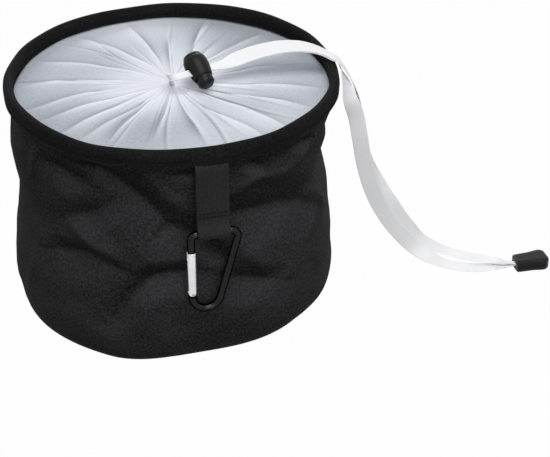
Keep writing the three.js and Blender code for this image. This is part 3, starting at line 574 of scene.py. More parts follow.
wall_cloth = cloth_material(
    "wall_cloth", grey(0.006, 0.0065), grey(0.05, 0.053),
    pitch=0.95, roughness=0.85, relief=0.25, grain=0.62, with_painted_light=True,
)
rim_cloth = cloth_material(
    "rim_cloth", grey(0.003, 0.0032), grey(0.023, 0.0238), pitch=0.95, roughness=0.88, relief=0.25, grain=0.5
)
web_cloth = cloth_material(
    "web_cloth", grey(0.01, 0.0105), grey(0.05, 0.053),
    pitch=1.0, roughness=0.8, relief=0.18, grain=0.2, along_pitch=0.5,
)
thread = thread_material("thread", grey(0.003, 0.0033), grey(0.012, 0.0125))
net = net_material()
satin = satin_material()
black_plastic = plastic_material("black_plastic", grey(0.005, 0.0055), grey(0.014, 0.015), roughness=0.3)
black_metal = metal_material(
    "black_metal", grey(0.014, 0.0145), grey(0.027, 0.028), roughness=0.15, stretch=(1, 1, 1), edge=0.05
)
bright_metal = metal_material(
    "bright_metal", (0.62, 0.63, 0.65), (0.82, 0.83, 0.84), roughness=0.3, stretch=(4, 4, 0.3)
)
rivet_metal = metal_material(
    "rivet_metal", grey(0.2, 0.21), grey(0.4, 0.42), roughness=0.35, stretch=(2, 2, 2)
)
spring_steel = metal_material(
    "spring_steel", grey(0.3, 0.32), grey(0.5, 0.52), roughness=0.35, stretch=(2, 2, 2)
)

# Camera at the photograph's viewing angle

CAMERA_PLACE = (-0.1779, -0.8777, 0.5950)
CAMERA_TURN = (math.radians(58.12), 0, math.radians(-15.4))
CAMERA_LENS = 109.2
SENSOR_WIDTH = 36

camera_data = bpy.data.cameras.new("camera")
camera_data.lens = CAMERA_LENS
camera_data.sensor_width = SENSOR_WIDTH
camera = add_object("camera", camera_data)
camera.location = CAMERA_PLACE
camera.rotation_euler = CAMERA_TURN
bpy.context.scene.camera = camera

# Ribbon drawstring: two flat strands that share one route to the rim and part below it.
# Each row of a route is a point, the direction across the ribbon there and the ribbon's width there.

RIBBON_THICKNESS = 0.5
RIBBON_WIDTH = 10.0
BUNCH_WIDTH = 4.4
MOUTH_WIDTH = 3.4
NARROWED_WIDTH = 8.0
STRAND_GAP = 0.3
RIBBON_STEP = 1.6
RIBBON_SIDES = 17
RIBBON_CUP = 0.12
RIBBON_PLEAT = 0.34
ACROSS_LOCK = -LOCK_ALONG_BUTTON


def in_lock(distance):
    return LOCK_CENTRE + distance * LOCK_ALONG_RIBBON


def sized(width, *rows):
    """Rows of one width, from pairs of a point and the direction across."""
    return [(point, across, width) for point, across in rows]


BUNCHED_POINTS = [
    (0, 0, 134.6), (0, 0, 139.4), (-0.5, -1, 143.8), (-1.8, -4.2, 147.2), (-3.2, -8, 150),
    (-4.1, -12.2, 152.2), (-3.2, -15.5, 153.4), (-0.9, -17.1, 154.1), in_lock(-13), in_lock(-8), in_lock(8),
]
SHARED_ROUTE = [
    *sized(BUNCH_WIDTH, *[(point, ACROSS_LOCK) for point in BUNCHED_POINTS]),
    (in_lock(18), ACROSS_LOCK, 7.0),
    ((37.5, -6.2, 155.2), (-0.2, 0.85, 0.5), 9.4),
    *sized(
        RIBBON_WIDTH,
        ((44, -5.6, 156.8), (-0.15, 0.88, 0.45)), ((56, -5.5, 159), (-0.1, 0.9, 0.4)),
        ((68.5, -5.4, 159.6), (0, 0.93, 0.35)), ((81, -6, 158), (0.1, 0.96, 0.2)),
        ((89.8, -7.8, 155.2), (0.13, 0.99, 0.05)), ((95.6, -10.8, 152.4), (0.13, 0.99, 0)),
        ((99.5, -13.4, 150.2), (0.13, 0.99, 0)),
    ),
]
LEFT_ROUTE = [
    *sized(
        RIBBON_WIDTH,
        ((101, -15.4, 145.2), (0.13, 0.99, 0)), ((102.6, -18.5, 139.2), (0.5, 0.85, 0.1)),
        ((105.2, -21.4, 127.5), (0.9, 0.3, 0.2)), ((109.7, -20.4, 114.5), (0.97, -0.1, 0.2)),
        ((112.6, -20.6, 98.9), (0.97, -0.14, 0.2)), ((115.9, -20, 81), (0.97, -0.1, 0.2)),
        ((121.5, -18.9, 61.4), (0.93, 0, 0.33)), ((129.4, -17, 43.5), (0.87, 0.05, 0.45)),
        ((141.6, -15.6, 23.9), (0.8, 0.1, 0.57)), ((156, -16.4, 7.8), (0.75, 0.2, 0.6)),
        ((168.5, -25.2, 1.2), (0.55, 0.83, 0.1)), ((182.6, -35, 0.6), (0.45, 0.89, 0)),
    ),
    ((198.4, -40, 0.9), (0.25, 0.97, 0), NARROWED_WIDTH),
    *sized(
        MOUTH_WIDTH,
        ((207.5, -43.2, 2.2), (0.1, 0.99, 0)), ((213, -44.4, 3.6), (0, 1, 0)),
        ((217.7, -44.4, 3.6), (0, 1, 0)),
    ),
]
RIGHT_ROUTE = [
    *sized(
        RIBBON_WIDTH,
        ((103.6, -14, 145), (0.13, 0.99, 0)), ((108.4, -13.4, 136.3), (0.1, 1, 0)),
        ((112.9, -13.6, 124.1), (0.08, 1, 0)), ((115.6, -14.2, 110.5), (0.08, 1, 0)),
        ((118.8, -14, 94.5), (0.15, 0.98, 0.05)), ((122.8, -13.6, 76.4), (0.45, 0.87, 0.15)),
        ((130.3, -13.1, 56.7), (0.82, 0.45, 0.35)), ((139.8, -12.6, 39.3), (0.85, 0.1, 0.5)),
        ((150.5, -11.4, 22.4), (0.75, 0.2, 0.6)), ((161.9, -10.4, 9), (0.55, 0.7, 0.45)),
        ((176, -15, 2.4), (0.5, 0.86, 0)), ((188.8, -25.6, 2), (0.5, 0.86, 0)),
    ),
    ((201, -34.4, 2.4), (0.4, 0.92, 0), NARROWED_WIDTH),
    *sized(
        MOUTH_WIDTH,
        ((208, -42.4, 4.6), (0.15, 0.99, 0)), ((213, -44.4, 4.4), (0, 1, 0)),
        ((217.7, -44.4, 4.4), (0, 1, 0)),
    ),
]


def ribbon_dip(u, width):
    """A faint cup across a flat ribbon, and small pleats where it is bunched."""
    bunched = np.clip((RIBBON_WIDTH - width) / (RIBBON_WIDTH - BUNCH_WIDTH), 0, 1)
    cup = RIBBON_CUP * (1 - u ** 2)
    return cup * (1 - bunched) + RIBBON_PLEAT * bunched * np.cos(2.5 * math.pi * u)


def ribbon(name, node, own_route, side):
    """One strand; on the shared rows it is set off to one side of their points."""
    rows = [*SHARED_ROUTE, *own_route]
    points, hints, widths = (np.array(column, float) for column in zip(*rows))
    apart = RIBBON_THICKNESS + STRAND_GAP
    offset = np.where(np.arange(len(rows)) < len(SHARED_ROUTE), side * apart / 2, 0)
    reached = reached_along(points)
    fine = np.linspace(0, reached[-1], int(reached[-1] / RIBBON_STEP))
    smooth = read_path(reached, points, fine)
    across, out = path_frames(smooth, read_path(reached, hints, fine))
    smooth = smooth + out * eased(reached, offset, fine)[:, None]
    widths = eased(reached, widths, fine)
    rings, u = strip(smooth, across, out, widths, RIBBON_THICKNESS, RIBBON_SIDES, ribbon_dip)
    mesh = strip_mesh(name, rings, u, RIBBON_WIDTH, fine)
    return place(mesh, name, satin, "basket", [node]), smooth


ribbon_strand_left, left_line = ribbon("ribbon_strand_left", "ribbon_left", LEFT_ROUTE, -1)
ribbon_strand_right, right_line = ribbon("ribbon_strand_right", "ribbon_right", RIGHT_ROUTE, 1)

# Cord end: two half shells closed over the ribbon's knot

CORD_END_LENGTHS = [0, 0.35, 1.0, 6, 12, 14.4, 16.4, 18.8, 20.6, 21.6, 22]
CORD_END_HALF_WIDTHS = [4.9, 5.3, 5.4, 5.75, 6.15, 6.6, 7.0, 6.9, 5.9, 4.7, 3.4]
CORD_END_HALF_HEIGHTS = [3.6, 3.9, 3.95, 3.97, 3.98, 4.0, 4.0, 4.0, 3.8, 3.3, 2.5]
CORD_END_MIDDLE = 4.0
CORD_END_SEAM = 0.3
CORNER_SHARPNESS = 8.0
CORD_END_SIDES = 48
CHANNEL_HALF = (1.95, 1.3)
KNOT_PLACE = 8.5
KNOT_ROOM = (2.75, 3.85)
KNOT_SIZE = 0.58
KNOT_DEPTH = 0.75
KNOT_ROPE_RADIUS = 0.58
KNOT_POINTS = 90
KNOT_SIDES = 10


def cord_end_shape():
    x = np.concatenate([np.linspace(0, 1, 5), np.linspace(1.6, 14, 16), np.linspace(14.4, 22, 22)])
    angles = steps_round(CORD_END_SIDES)
    reach = np.abs(np.cos(angles)) ** CORNER_SHARPNESS + np.abs(np.sin(angles)) ** CORNER_SHARPNESS
    reach = reach ** (-1 / CORNER_SHARPNESS)
    half_width = eased(CORD_END_LENGTHS, CORD_END_HALF_WIDTHS, x)
    half_height = eased(CORD_END_LENGTHS, CORD_END_HALF_HEIGHTS, x)
    rings = []
    for at, wide, tall in zip(x, half_width, half_height):
        height = CORD_END_MIDDLE + tall * reach * np.sin(angles)
        rings.append(np.stack([np.full(CORD_END_SIDES, at), wide * reach * np.cos(angles), height], axis=-1))
    return loft(rings)


def at_cord_end(shape):
    return shifted(shape, CORD_END_MOUTH)


def cord_end_half(name, node, low, high):
    wide, tall = CHANNEL_HALF
    channel = box_shape((-2, -wide, CORD_END_MIDDLE - tall), (KNOT_PLACE, wide, CORD_END_MIDDLE + tall))
    room = [(KNOT_ROOM[0] * math.sin(t), -KNOT_ROOM[1] * math.cos(t)) for t in np.linspace(0, math.pi, 13)]
    room = moved(lathe(room, 24), (KNOT_PLACE, 0, CORD_END_MIDDLE), (0, 1, 0), (0, 0, 1), (1, 0, 0))
    half = box_shape((-5, -20, low), (40, 20, high))
    steps = [("INTERSECT", half), ("DIFFERENCE", channel), ("DIFFERENCE", room)]
    mesh = carved(name, cord_end_shape(), steps, at_cord_end, bevel=0.18)
    return place(mesh, name, black_plastic, "basket", [node], hard=True)


def knot():
    """An overhand knot, drawn as a closed trefoil."""
    t = np.linspace(0, FULL_TURN, KNOT_POINTS, endpoint=False)
    loops = np.stack([
        KNOT_SIZE * (np.sin(t) + 2 * np.sin(2 * t)),
        KNOT_SIZE * (np.cos(t) - 2 * np.cos(2 * t)),
        -KNOT_DEPTH * np.sin(3 * t),
    ], axis=-1)
    line = loops + np.array([KNOT_PLACE, 0, CORD_END_MIDDLE])
    rope = tube(line, KNOT_ROPE_RADIUS, KNOT_SIDES, closed=True)
    mesh = as_mesh("knot", *at_cord_end(rope))
    across = np.tile(np.arange(KNOT_SIDES) / 3, KNOT_POINTS)
    set_weave_map(mesh, np.stack([across, np.repeat(t, KNOT_SIDES) * 6], axis=-1))
    return place(mesh, "ribbon_knot", satin, "basket", ["drawstring_knot"])


cord_end_top = cord_end_half("cord_end_top", "cord_end_upper", CORD_END_MIDDLE + CORD_END_SEAM / 2, 12)
cord_end_bottom = cord_end_half("cord_end_bottom", "cord_end_lower", -4, CORD_END_MIDDLE - CORD_END_SEAM / 2)
ribbon_knot = knot()

for strand, line in ((ribbon_strand_left, left_line), (ribbon_strand_right, right_line)):
    (line * MM).tolist()

# Side wall: a soft shell whose outline differs around the bag, with folds across it

WALL_COLUMNS = 480
WALL_THICKNESS = 1.0
MM_PER_DEGREE = math.pi * MEAN_RADIUS / 180
# The bag's outline: radii at these heights, by degrees from the tab; the top two are the same all round
PROFILE_HEIGHTS = [0, 3, 9, 15, 24, 33, 50, 62, 74, 87, 96, 104, 115, 124, 130, 136, 141, 145.4]
PROFILES = {
    -95: [96, 97.2, 98.7, 100, 101.4, 101, 99.4, 97.9, 96.3, 95.3, 96.4, 97.5, 97.8, 97, 96.4, 97.1],
    -40: [90, 92.5, 95.5, 97, 98.2, 98.3, 97.6, 96.8, 96, 95.2, 95, 95.2, 95.6, 95.9, 96.2, 97.2],
    0: [78.5, 83.5, 88.5, 91.5, 94, 95.2, 96, 96, 95.6, 95, 94.6, 94.6, 95, 95.6, 96.2, 97.2],
    38: [82, 87, 91.5, 94, 96, 96.6, 96.6, 96.2, 95.6, 94.8, 94.2, 94, 94.4, 95, 95.8, 97.2],
    73: [92.6, 93.9, 95.6, 96.7, 97, 96.5, 96.1, 94.7, 93.8, 91.2, 87.9, 87.2, 92.4, 94.2, 95.4, 97.6],
    120: [90, 92.5, 95.2, 96.8, 97.8, 97.8, 97.4, 96.9, 96.4, 96, 95.8, 95.9, 96.2, 96.3, 96.4, 97.2],
    180: [88, 91, 94.4, 96.2, 97.4, 97.6, 97.4, 97, 96.6, 96.4, 96.2, 96.3, 96.4, 96.5, 96.5, 97.2],
    220: [90, 92.6, 95.6, 97.2, 98.2, 98.2, 97.8, 97.3, 96.8, 96.4, 96.2, 96.3, 96.5, 96.6, 96.6, 97.2],
}
PROFILE_TOP = [98.4, 98.5]
# Each fold runs from left to right through points (degrees from the tab, height); then come how far it
# stands out, and how wide its upper and lower slopes are
FOLDS = [
    ([(-44.5, 141), (-39.7, 135), (-31.3, 126), (-23, 115.5), (-18, 106), (-14.5, 99),
      (-7, 94)], -8.2, 16, 26),
    ([(-19.2, 90.6), (-17.4, 94), (-15, 98)], -2.4, 5, 6),
    ([(-58, 126.5), (-48.8, 122), (-44.7, 121)], -5.5, 9, 16),
    ([(-54, 93), (-41, 104), (-33, 113)], -3.4, 14, 14),
    ([(-52.6, 91), (-41.9, 81), (-34.4, 76.6)], 3.0, 16, 8),
    ([(-60, 68.5), (-46.3, 74), (-36.4, 71.7)], -5.6, 10, 24),
    ([(-24, 62), (-19.7, 66), (-15.6, 67.7), (-5, 69)], -6.2, 10, 18),
    ([(-35, 31), (-30, 48), (-23.3, 62)], -4.2, 14, 14),
    ([(-16.9, 119), (-11.9, 115.7), (-7, 112.5)], 3.0, 16, 9),
    ([(-11, 136), (-5, 134)], -3.2, 6, 7),
    ([(12.5, 141), (14.3, 136), (18.2, 128)], -6.0, 10, 7),
    ([(18, 124.5), (25.4, 120.5), (35, 121.5)], 3.0, 14, 8),
    ([(7.6, 116.4), (13, 120.6), (19.4, 124)], 2.6, 6, 5),
    ([(8, 103), (21, 98.5), (30, 97), (43.5, 88.6)], -7.6, 20, 24),
    ([(10.9, 76), (15.2, 70.6), (19.2, 60)], 2.4, 12, 6),
    ([(7, 62), (15, 56), (25, 50)], -5.6, 12, 20),
    ([(-2.3, 85.8), (5.3, 72.5)], -4.0, 10, 12),
    ([(32.5, 137), (41.6, 133.7)], -5.4, 5, 8),
    ([(38.1, 116), (38.6, 124), (46.5, 133)], 2.4, 8, 8),
    ([(46, 92), (50, 90), (57.6, 76)], 3.0, 10, 8),
    ([(40.4, 65), (49, 80)], 2.0, 10, 10),
    ([(-70.7, 110), (-65.5, 134)], 2.0, 7, 7),
    ([(-77.7, 22.7), (-70.4, 58.5)], 1.6, 9, 9),
    ([(58, 134), (66, 122), (74, 104)], -3.0, 9, 8),
    ([(98, 128), (108, 114), (122, 101)], -6.0, 14, 20),
    ([(100, 62), (112, 56), (124, 46)], -5.0, 12, 18),
    ([(112, 86), (124, 80), (136, 86)], 3.0, 14, 12),
    ([(132, 74), (148, 68), (164, 72)], -5.2, 12, 20),
    ([(146, 120), (156, 111), (164, 99)], -4.8, 12, 16),
    ([(150, 36), (162, 30), (174, 32)], -3.0, 12, 14),
    ([(196, 132), (204, 118), (218, 104)], -6.0, 14, 20),
    ([(190, 62), (204, 56), (218, 60)], -4.8, 12, 20),
    ([(222, 84), (236, 78), (250, 82)], -4.6, 12, 18),
    ([(228, 124), (238, 117), (246, 104)], -5.0, 10, 16),
    ([(226, 38), (238, 32), (250, 36)], -3.2, 12, 14),
]
FOLD_ROUNDING = 1.7
FOLD_LIMITS = (-11, 6)
# Heights by which the cloth is loose, from the foot up and from the rim down
FOOT_LOOSE = 14
RIM_LOOSE = 132
# Behind the carabiner no fold stands out: the heights between which that sets in, and how wide it is, as
# the sine of half an angle
CLIP_STRETCH = (30, 45)
CLIP_FLAT = 0.11
SEAM_STIFF_DEGREES = 7
SEAM_GROOVE = 0.9
SEAM_GROOVE_HALF = 1.3
# The wall's tone is painted light and shade: lighter where the cloth faces up, on ridges and near the foot,
# darker where it faces down and in creases
TONE_STEP = 2.0
PAINTED_FOOT_LIGHT = 0.16
PAINTED_TILT_SHADING = 0.34
PAINTED_HOLLOW_SHADING = 0.16
# Shallow waves: how many, the range of their turns around, their size and the seed they are drawn from
WALL_WAVES = [(24, 5, 16, 0.4, 3), (30, 24, 64, 0.1, 5)]
FOOT_HEIGHTS = [0.5, 1.3, 2.4, 3.8, 5.5, 7.4, 9.6]
FOOT_HEM = [(9, 0), (5, 0), (1.8, 0.1)]
FOOT_RETURN = [5, 9]


def wall_profile(angle, height):
    """Outline of the bag before its folds, blended around it."""
    degrees = list(PROFILES)
    by_angle = np.stack([eased(PROFILE_HEIGHTS, PROFILES[d] + PROFILE_TOP, height) for d in degrees])
    turned = (np.degrees(angle) - degrees[0]) % 360 + degrees[0]
    stops = np.array(degrees + [degrees[0] + 360])
    k = np.clip(np.searchsorted(stops, turned, side="right") - 1, 0, len(degrees) - 1)
    share = smoothstep(stops[k], stops[k + 1], turned)
    first = np.take_along_axis(by_angle, k[None], 0)[0]
    second = np.take_along_axis(by_angle, ((k + 1) % len(degrees))[None], 0)[0]
    return first + (second - first) * share


def fold_depth(angle, height):
    """Sum of the folds: each has two slopes that meet in a crease, and fades towards its ends."""
    total = np.zeros_like(height)
    for points, depth, above, below in FOLDS:
        line = np.array([(d * MM_PER_DEGREE, z) for d, z in points], float)
        middle = line[:, 0].mean() / MM_PER_DEGREE
        along = ((np.degrees(angle) - middle + 180) % 360 - 180 + middle) * MM_PER_DEGREE
        here = np.stack([along, height], axis=-1)
        lengths = np.linalg.norm(np.diff(line, axis=0), axis=1)
        reached = reached_along(line)
        nearest = np.full(height.shape, np.inf)
        share = np.zeros_like(height)
        side = np.zeros_like(height)
        for start, end, length, before in zip(line[:-1], line[1:], lengths, reached):
            direction = (end - start) / length
            t = np.clip((here - start) @ direction, 0, length)
            apart = here - start - t[..., None] * direction
            gap = np.linalg.norm(apart, axis=-1)
            closer = gap < nearest
            nearest = np.where(closer, gap, nearest)
            share = np.where(closer, (before + t) / reached[-1], share)
            side = np.where(closer, apart @ np.array([-direction[1], direction[0]]), side)
        width = below + (above - below) * smoothstep(-FOLD_ROUNDING, FOLD_ROUNDING, side)
        slope = np.clip(1 - np.sqrt(nearest ** 2 + FOLD_ROUNDING ** 2) / width, 0, 1) ** 1.5
        fade = 0.45 + 0.55 * np.sin(np.pi * np.clip(share, 0.001, 0.999)) ** 0.6
        total += depth * fade * slope
    return np.clip(total, *FOLD_LIMITS)


def small_waves(angle, height, count, low, high, size, seed):
    """A sum of shallow waves that closes around the bag, over a height or a radius."""
    rng = np.random.default_rng(seed)
    total = np.zeros_like(height)
    for _ in range(count):
        turns = int(rng.integers(low, high))
        climb = rng.normal(0, turns / MEAN_RADIUS)
        phase = rng.uniform(0, FULL_TURN)
        total += np.sin(turns * angle + climb * height + phase) / math.sqrt(turns)
    return total * size * math.sqrt(low) / math.sqrt(count)


def wall_radius(angle, height):
    """Outer radius of the bag."""
    angle, height = np.broadcast_arrays(np.asarray(angle, float), np.asarray(height, float))
    loose = smoothstep(0, FOOT_LOOSE, height) * smoothstep(RIM_BOTTOM, RIM_LOOSE, height)
    behind_clip = 1 - bell(np.sin(angle / 2), CLIP_FLAT) * smoothstep(*CLIP_STRETCH, height)
    folds = fold_depth(angle, height)
    folds = np.where(folds > 0, folds * behind_clip, folds)
    waves = sum(small_waves(angle, height, *wave) for wave in WALL_WAVES)
    from_seam = np.abs(np.degrees(angle) % 360 - 180)
    stiff = smoothstep(SEAM_STIFF_DEGREES, 2 * SEAM_STIFF_DEGREES, from_seam)
    seam = -SEAM_GROOVE * bell(from_seam * MM_PER_DEGREE, SEAM_GROOVE_HALF)
    soft = loose * (stiff * folds + waves * (0.4 + 0.6 * behind_clip))
    return wall_profile(angle, height) + soft + seam


def wall_painted_shading(angle, height):
    """Painted light and shade of the cloth, 0.5 where upright: lighter where it faces up, on ridges and near
    the foot, darker where it faces down and in creases.
    """
    below, here, above = (wall_radius(angle, height + step) for step in (-TONE_STEP, 0, TONE_STEP))
    tilt = (below - above) / (2 * TONE_STEP)
    hollow = (below + above - 2 * here) / TONE_STEP
    foot = PAINTED_FOOT_LIGHT * smoothstep(45, 8, np.asarray(height, float))
    return 0.5 + foot + PAINTED_TILT_SHADING * np.tanh(tilt / 0.4) - PAINTED_HOLLOW_SHADING * np.tanh(hollow / 0.5)


def side_wall():
    angles = steps_round(WALL_COLUMNS)
    heights = np.concatenate([FOOT_HEIGHTS, np.linspace(11, RIM_BOTTOM, 112), [143, WALL_TOP]])
    base = wall_radius(angles, 0.0)
    outside = [(wall_radius(angles, height), height) for height in heights]
    inside = [(radius - WALL_THICKNESS, max(height, WALL_THICKNESS)) for radius, height in outside[::-1]]
    rings = [
        *[around(base - inwards, angles, height) for inwards, height in FOOT_HEM],
        *[around(radius, angles, height) for radius, height in outside + inside],
        *[around(base - inwards, angles, WALL_THICKNESS) for inwards in FOOT_RETURN],
    ]
    hem = [-inwards for inwards, _ in FOOT_HEM]
    travelled = [*hem, *heights, *heights[::-1], *[-inwards for inwards in FOOT_RETURN]]
    # Tone on the wall: painted light and shade from the cloth's slopes and creases
    tones = [wall_painted_shading(angles, height) for height in travelled]
    mesh = ring_mesh("wall", rings, angles, FULL_TURN * MEAN_RADIUS, travelled, tones)
    return place(mesh, "wall_panel", wall_cloth, "basket", ["side_wall"])


wall_panel = side_wall()

# Base: a round panel sewn to the turned-under foot of the wall, with a bound seam inside

BASE_COLUMNS = 160
BASE_INSET = 6.0
BASE_THICKNESS = 1.0
SEAM_INSET = 3.2
BASE_PUCKERS = 48
BASE_PUCKER = 0.12
BASE_BINDING_LENGTH = 520
BINDING_WAVE = [(0.25, 11, 0)]
BINDING_OUTLINE = [
    (-1.3, 3.0), (-1.3, 8.4), (-0.9, 9.6), (0, 10.0), (0.9, 9.6), (1.3, 8.4), (1.3, 3.0),
    (0.6, 3.0), (0.6, 8.3), (0, 9.2), (-0.6, 8.3), (-0.6, 3.0),
]
SIDE_BINDING_WIDTH = 12
SIDE_BINDING_THICKNESS = 0.7
SIDE_BINDING_COLUMNS = 9


def base_panel():
    angles = steps_round(BASE_COLUMNS)
    edge = wall_radius(angles, 0.0) - BASE_INSET
    rings = []
    for share in np.concatenate([np.linspace(0.02, 0.8, 16), np.linspace(0.83, 1, 9)]):
        radius = edge * share
        pucker = BASE_PUCKER * np.cos(BASE_PUCKERS * angles) * smoothstep(0.8, 0.97, share)
        lift = (WALL_THICKNESS + 0.15) * smoothstep(-9, -SEAM_INSET, radius - edge) + pucker
        rings.append(around(radius, angles, np.maximum(lift, 0.0)))
    top = [ring + np.array([0, 0, BASE_THICKNESS]) for ring in rings[::-1]]
    points, faces = loft(rings + top)
    mesh = as_mesh("base", points, faces)
    set_weave_map(mesh, points[:, :2])
    set_tone(mesh, np.full(len(points), 0.5))
    return place(mesh, "base_disc", wall_cloth, "basket", ["base_panel"])


def base_tape():
    """Binding folded over the upright edges of the bottom seam, inside the bag."""
    angles = steps_round(BASE_COLUMNS)
    middle = wall_radius(angles, 0.0) - BASE_INSET - SEAM_INSET
    middle = middle + sines(angles, BINDING_WAVE)
    rings = [around(middle + across, angles, height) for across, height in BINDING_OUTLINE]
    mesh = ring_mesh("base_tape", rings, angles, BASE_BINDING_LENGTH, np.arange(len(rings)) * 1.6)
    return place(mesh, "base_binding", rim_cloth, "basket", ["base_seam_tape"])


def side_tape():
    """Tape over the upright seam, flat against the inside of the wall."""
    heights = np.linspace(16, 128, 60)
    half = np.radians(SIDE_BINDING_WIDTH / 2 / MEAN_RADIUS * 180 / math.pi)
    angles = math.pi + np.linspace(-half, half, SIDE_BINDING_COLUMNS)
    rings = []
    for height in heights:
        outer = wall_radius(angles, height) - WALL_THICKNESS - 0.15
        outside = around(outer, angles, height)
        inside = around((outer - SIDE_BINDING_THICKNESS)[::-1], angles[::-1], height)
        rings.append(np.concatenate([outside, inside]))
    u = np.concatenate([np.linspace(-1, 1, SIDE_BINDING_COLUMNS), np.linspace(1, -1, SIDE_BINDING_COLUMNS)])
    mesh = strip_mesh("side_tape", np.array(rings), u, SIDE_BINDING_WIDTH, heights)
    return place(mesh, "side_binding", rim_cloth, "basket", ["side_seam_tape"])


base_disc = base_panel()
base_binding = base_tape()
side_binding = side_tape()

# Stitches: short arched threads along a line of points

STITCH_RADIUS = 0.3
STITCH_SHARE = 0.8
STITCH_ARCH = [-0.7, 0.5, 1, 0.5, -0.7]
STITCH_TAPER = np.array([0.6, 0.95, 1, 0.95, 0.6])
STITCH_SIDES = 7


def stitches(points, outs, stand):
    """One stitch from each point towards the next, arched a little out of the cloth."""
    shapes = []
    for start, end, out in zip(points[:-1], points[1:], outs):
        end = start + (end - start) * STITCH_SHARE
        along = np.linspace(0, 1, len(STITCH_ARCH))
        line = [start + (end - start) * t + out * stand * rise for t, rise in zip(along, STITCH_ARCH)]
        shapes.append(tube(line, STITCH_TAPER * STITCH_RADIUS, STITCH_SIDES))
    return shapes


def sew(name, body, shapes):
    place(as_mesh(name, *joined(*shapes)), name, thread, body)


# Rim: a tape folded over the wall's and the cover's edges, sewn through near its lower edge

RIM_COLUMNS = 440
RIM_STITCHES = 220
RIM_STITCH_HEIGHT = 143.3
RIM_STITCH_STAND = 0.22
RIM_SEWN_HALF = 1.1
RIM_PRESS = 0.22
RIM_PUCKER = 0.07
RIM_BELLY = 0.25
RIM_BELLY_HEIGHT = 145.6
RIM_BELLY_HALF = 1.2
# The rim's bulge over the tab, and where it goes from nothing to full, across in mm and in height
TAB_BULGE = 1.2
TAB_BULGE_ENDS = (13.5, 10)
TAB_BULGE_HEIGHTS = (148, 142.5)
# Small rise and fall of the rim, the heights between which it sets in, and the rim's drift in and out
RIM_RISE = [(0.45, 3, 0.7), (0.3, 5, 2.1), (0.16, 11, 0.3)]
RIM_RISE_HEIGHTS = (138, 150)
RIM_DRIFT = [(0.4, 2, 1.2), (0.3, 7, 0), (0.14, 17, 1)]


def rim_profile():
    """Closed outline of the folded tape as (radius, height) pairs, from the outer lower edge round."""
    outer = (RIM_RADIUS - RIM_INNER) / 2
    middle = (RIM_FOLD_MIDDLE, RIM_FOLD_HEIGHT)
    outside = arc(middle, outer, 0, math.pi, 13)
    inside = arc(middle, outer - TAPE_THICKNESS, 0, math.pi, 13)
    leg = np.linspace(RIM_BOTTOM + 0.35, RIM_FOLD_HEIGHT, 9)[:-1]
    wide, narrow = RIM_RADIUS, RIM_INNER
    thick = TAPE_THICKNESS
    return [
        (wide - thick / 2, RIM_BOTTOM), (wide - 0.15, RIM_BOTTOM + 0.1), *[(wide, z) for z in leg], *outside,
        *[(narrow, z) for z in leg[::-1]], (narrow + 0.15, RIM_BOTTOM + 0.1),
        (narrow + thick / 2, RIM_BOTTOM), *[(narrow + thick, z) for z in leg], *inside[::-1],
        *[(wide - thick, z) for z in leg[::-1]],
    ]


def rim_shift(angle, radius, height):
    """How far the sewn, worn rim departs from its plain ring: (outwards, upwards)."""
    outer_side = smoothstep(RIM_FOLD_MIDDLE, RIM_RADIUS, radius)
    inner_side = smoothstep(RIM_FOLD_MIDDLE, RIM_INNER, radius)
    sewn = bell(height - RIM_STITCH_HEIGHT, RIM_SEWN_HALF)
    press = sewn * (RIM_PRESS + RIM_PUCKER * np.cos(RIM_STITCHES * angle))
    degrees = (np.degrees(angle) + 180) % 360 - 180
    over_tab = smoothstep(*TAB_BULGE_ENDS, np.abs(degrees) * MM_PER_DEGREE * RIM_RADIUS / MEAN_RADIUS)
    bulge = TAB_BULGE * over_tab * smoothstep(*TAB_BULGE_HEIGHTS, height)
    belly = RIM_BELLY * bell(height - RIM_BELLY_HEIGHT, RIM_BELLY_HALF)
    outwards = outer_side * (belly - press + bulge) - inner_side * (belly - press)
    upwards = sines(angle, RIM_RISE) * smoothstep(*RIM_RISE_HEIGHTS, height)
    return outwards + sines(angle, RIM_DRIFT), upwards


def rim_tape():
    angles = steps_round(RIM_COLUMNS)
    profile = rim_profile()
    rings = []
    for radius, height in profile:
        outwards, upwards = rim_shift(angles, radius, height)
        rings.append(around(radius + outwards, angles, height + upwards))
    mesh = ring_mesh("rim", rings, angles, FULL_TURN * RIM_RADIUS, reached_along(profile))
    return place(mesh, "rim_fold", rim_cloth, "basket", ["rim_binding"])


def rim_stitches(name, radius, sign):
    angles = np.arange(RIM_STITCHES + 1) * FULL_TURN / RIM_STITCHES
    outwards, upwards = rim_shift(angles, radius, RIM_STITCH_HEIGHT)
    points = around(radius + outwards, angles, RIM_STITCH_HEIGHT + upwards)
    sew(name, "basket", stitches(points, around(sign, angles, 0.0), RIM_STITCH_STAND))


rim_fold = rim_tape()
rim_stitches("rim_stitches_outer", RIM_RADIUS, 1.0)
rim_stitches("rim_stitches_inner", RIM_INNER, -1.0)

# Net cover: gathered in folds to the hole that the ribbon comes out of

COVER_COLUMNS = 900
COVER_THICKNESS = 0.45
COVER_RISE = 2.0
COVER_HOLE = (2.5, 1.15)
CREST_ROUNDING = 0.2
GENTLE_SLOPE = 0.4
STEEP_SLOPE = 0.12
FOLD_RISE = 0.15
FOLD_RISE_LIMIT = 2.2
GATHER_RISE = 0.13
GATHER_RISE_LIMIT = 0.8
FUNNEL_DEPTH = 1.0
SINGLE_TONE = 0.28
BUNCHED_TONE = 0.56
FOLD_NEAR = 25.0
FOLD_FAR = 80.0
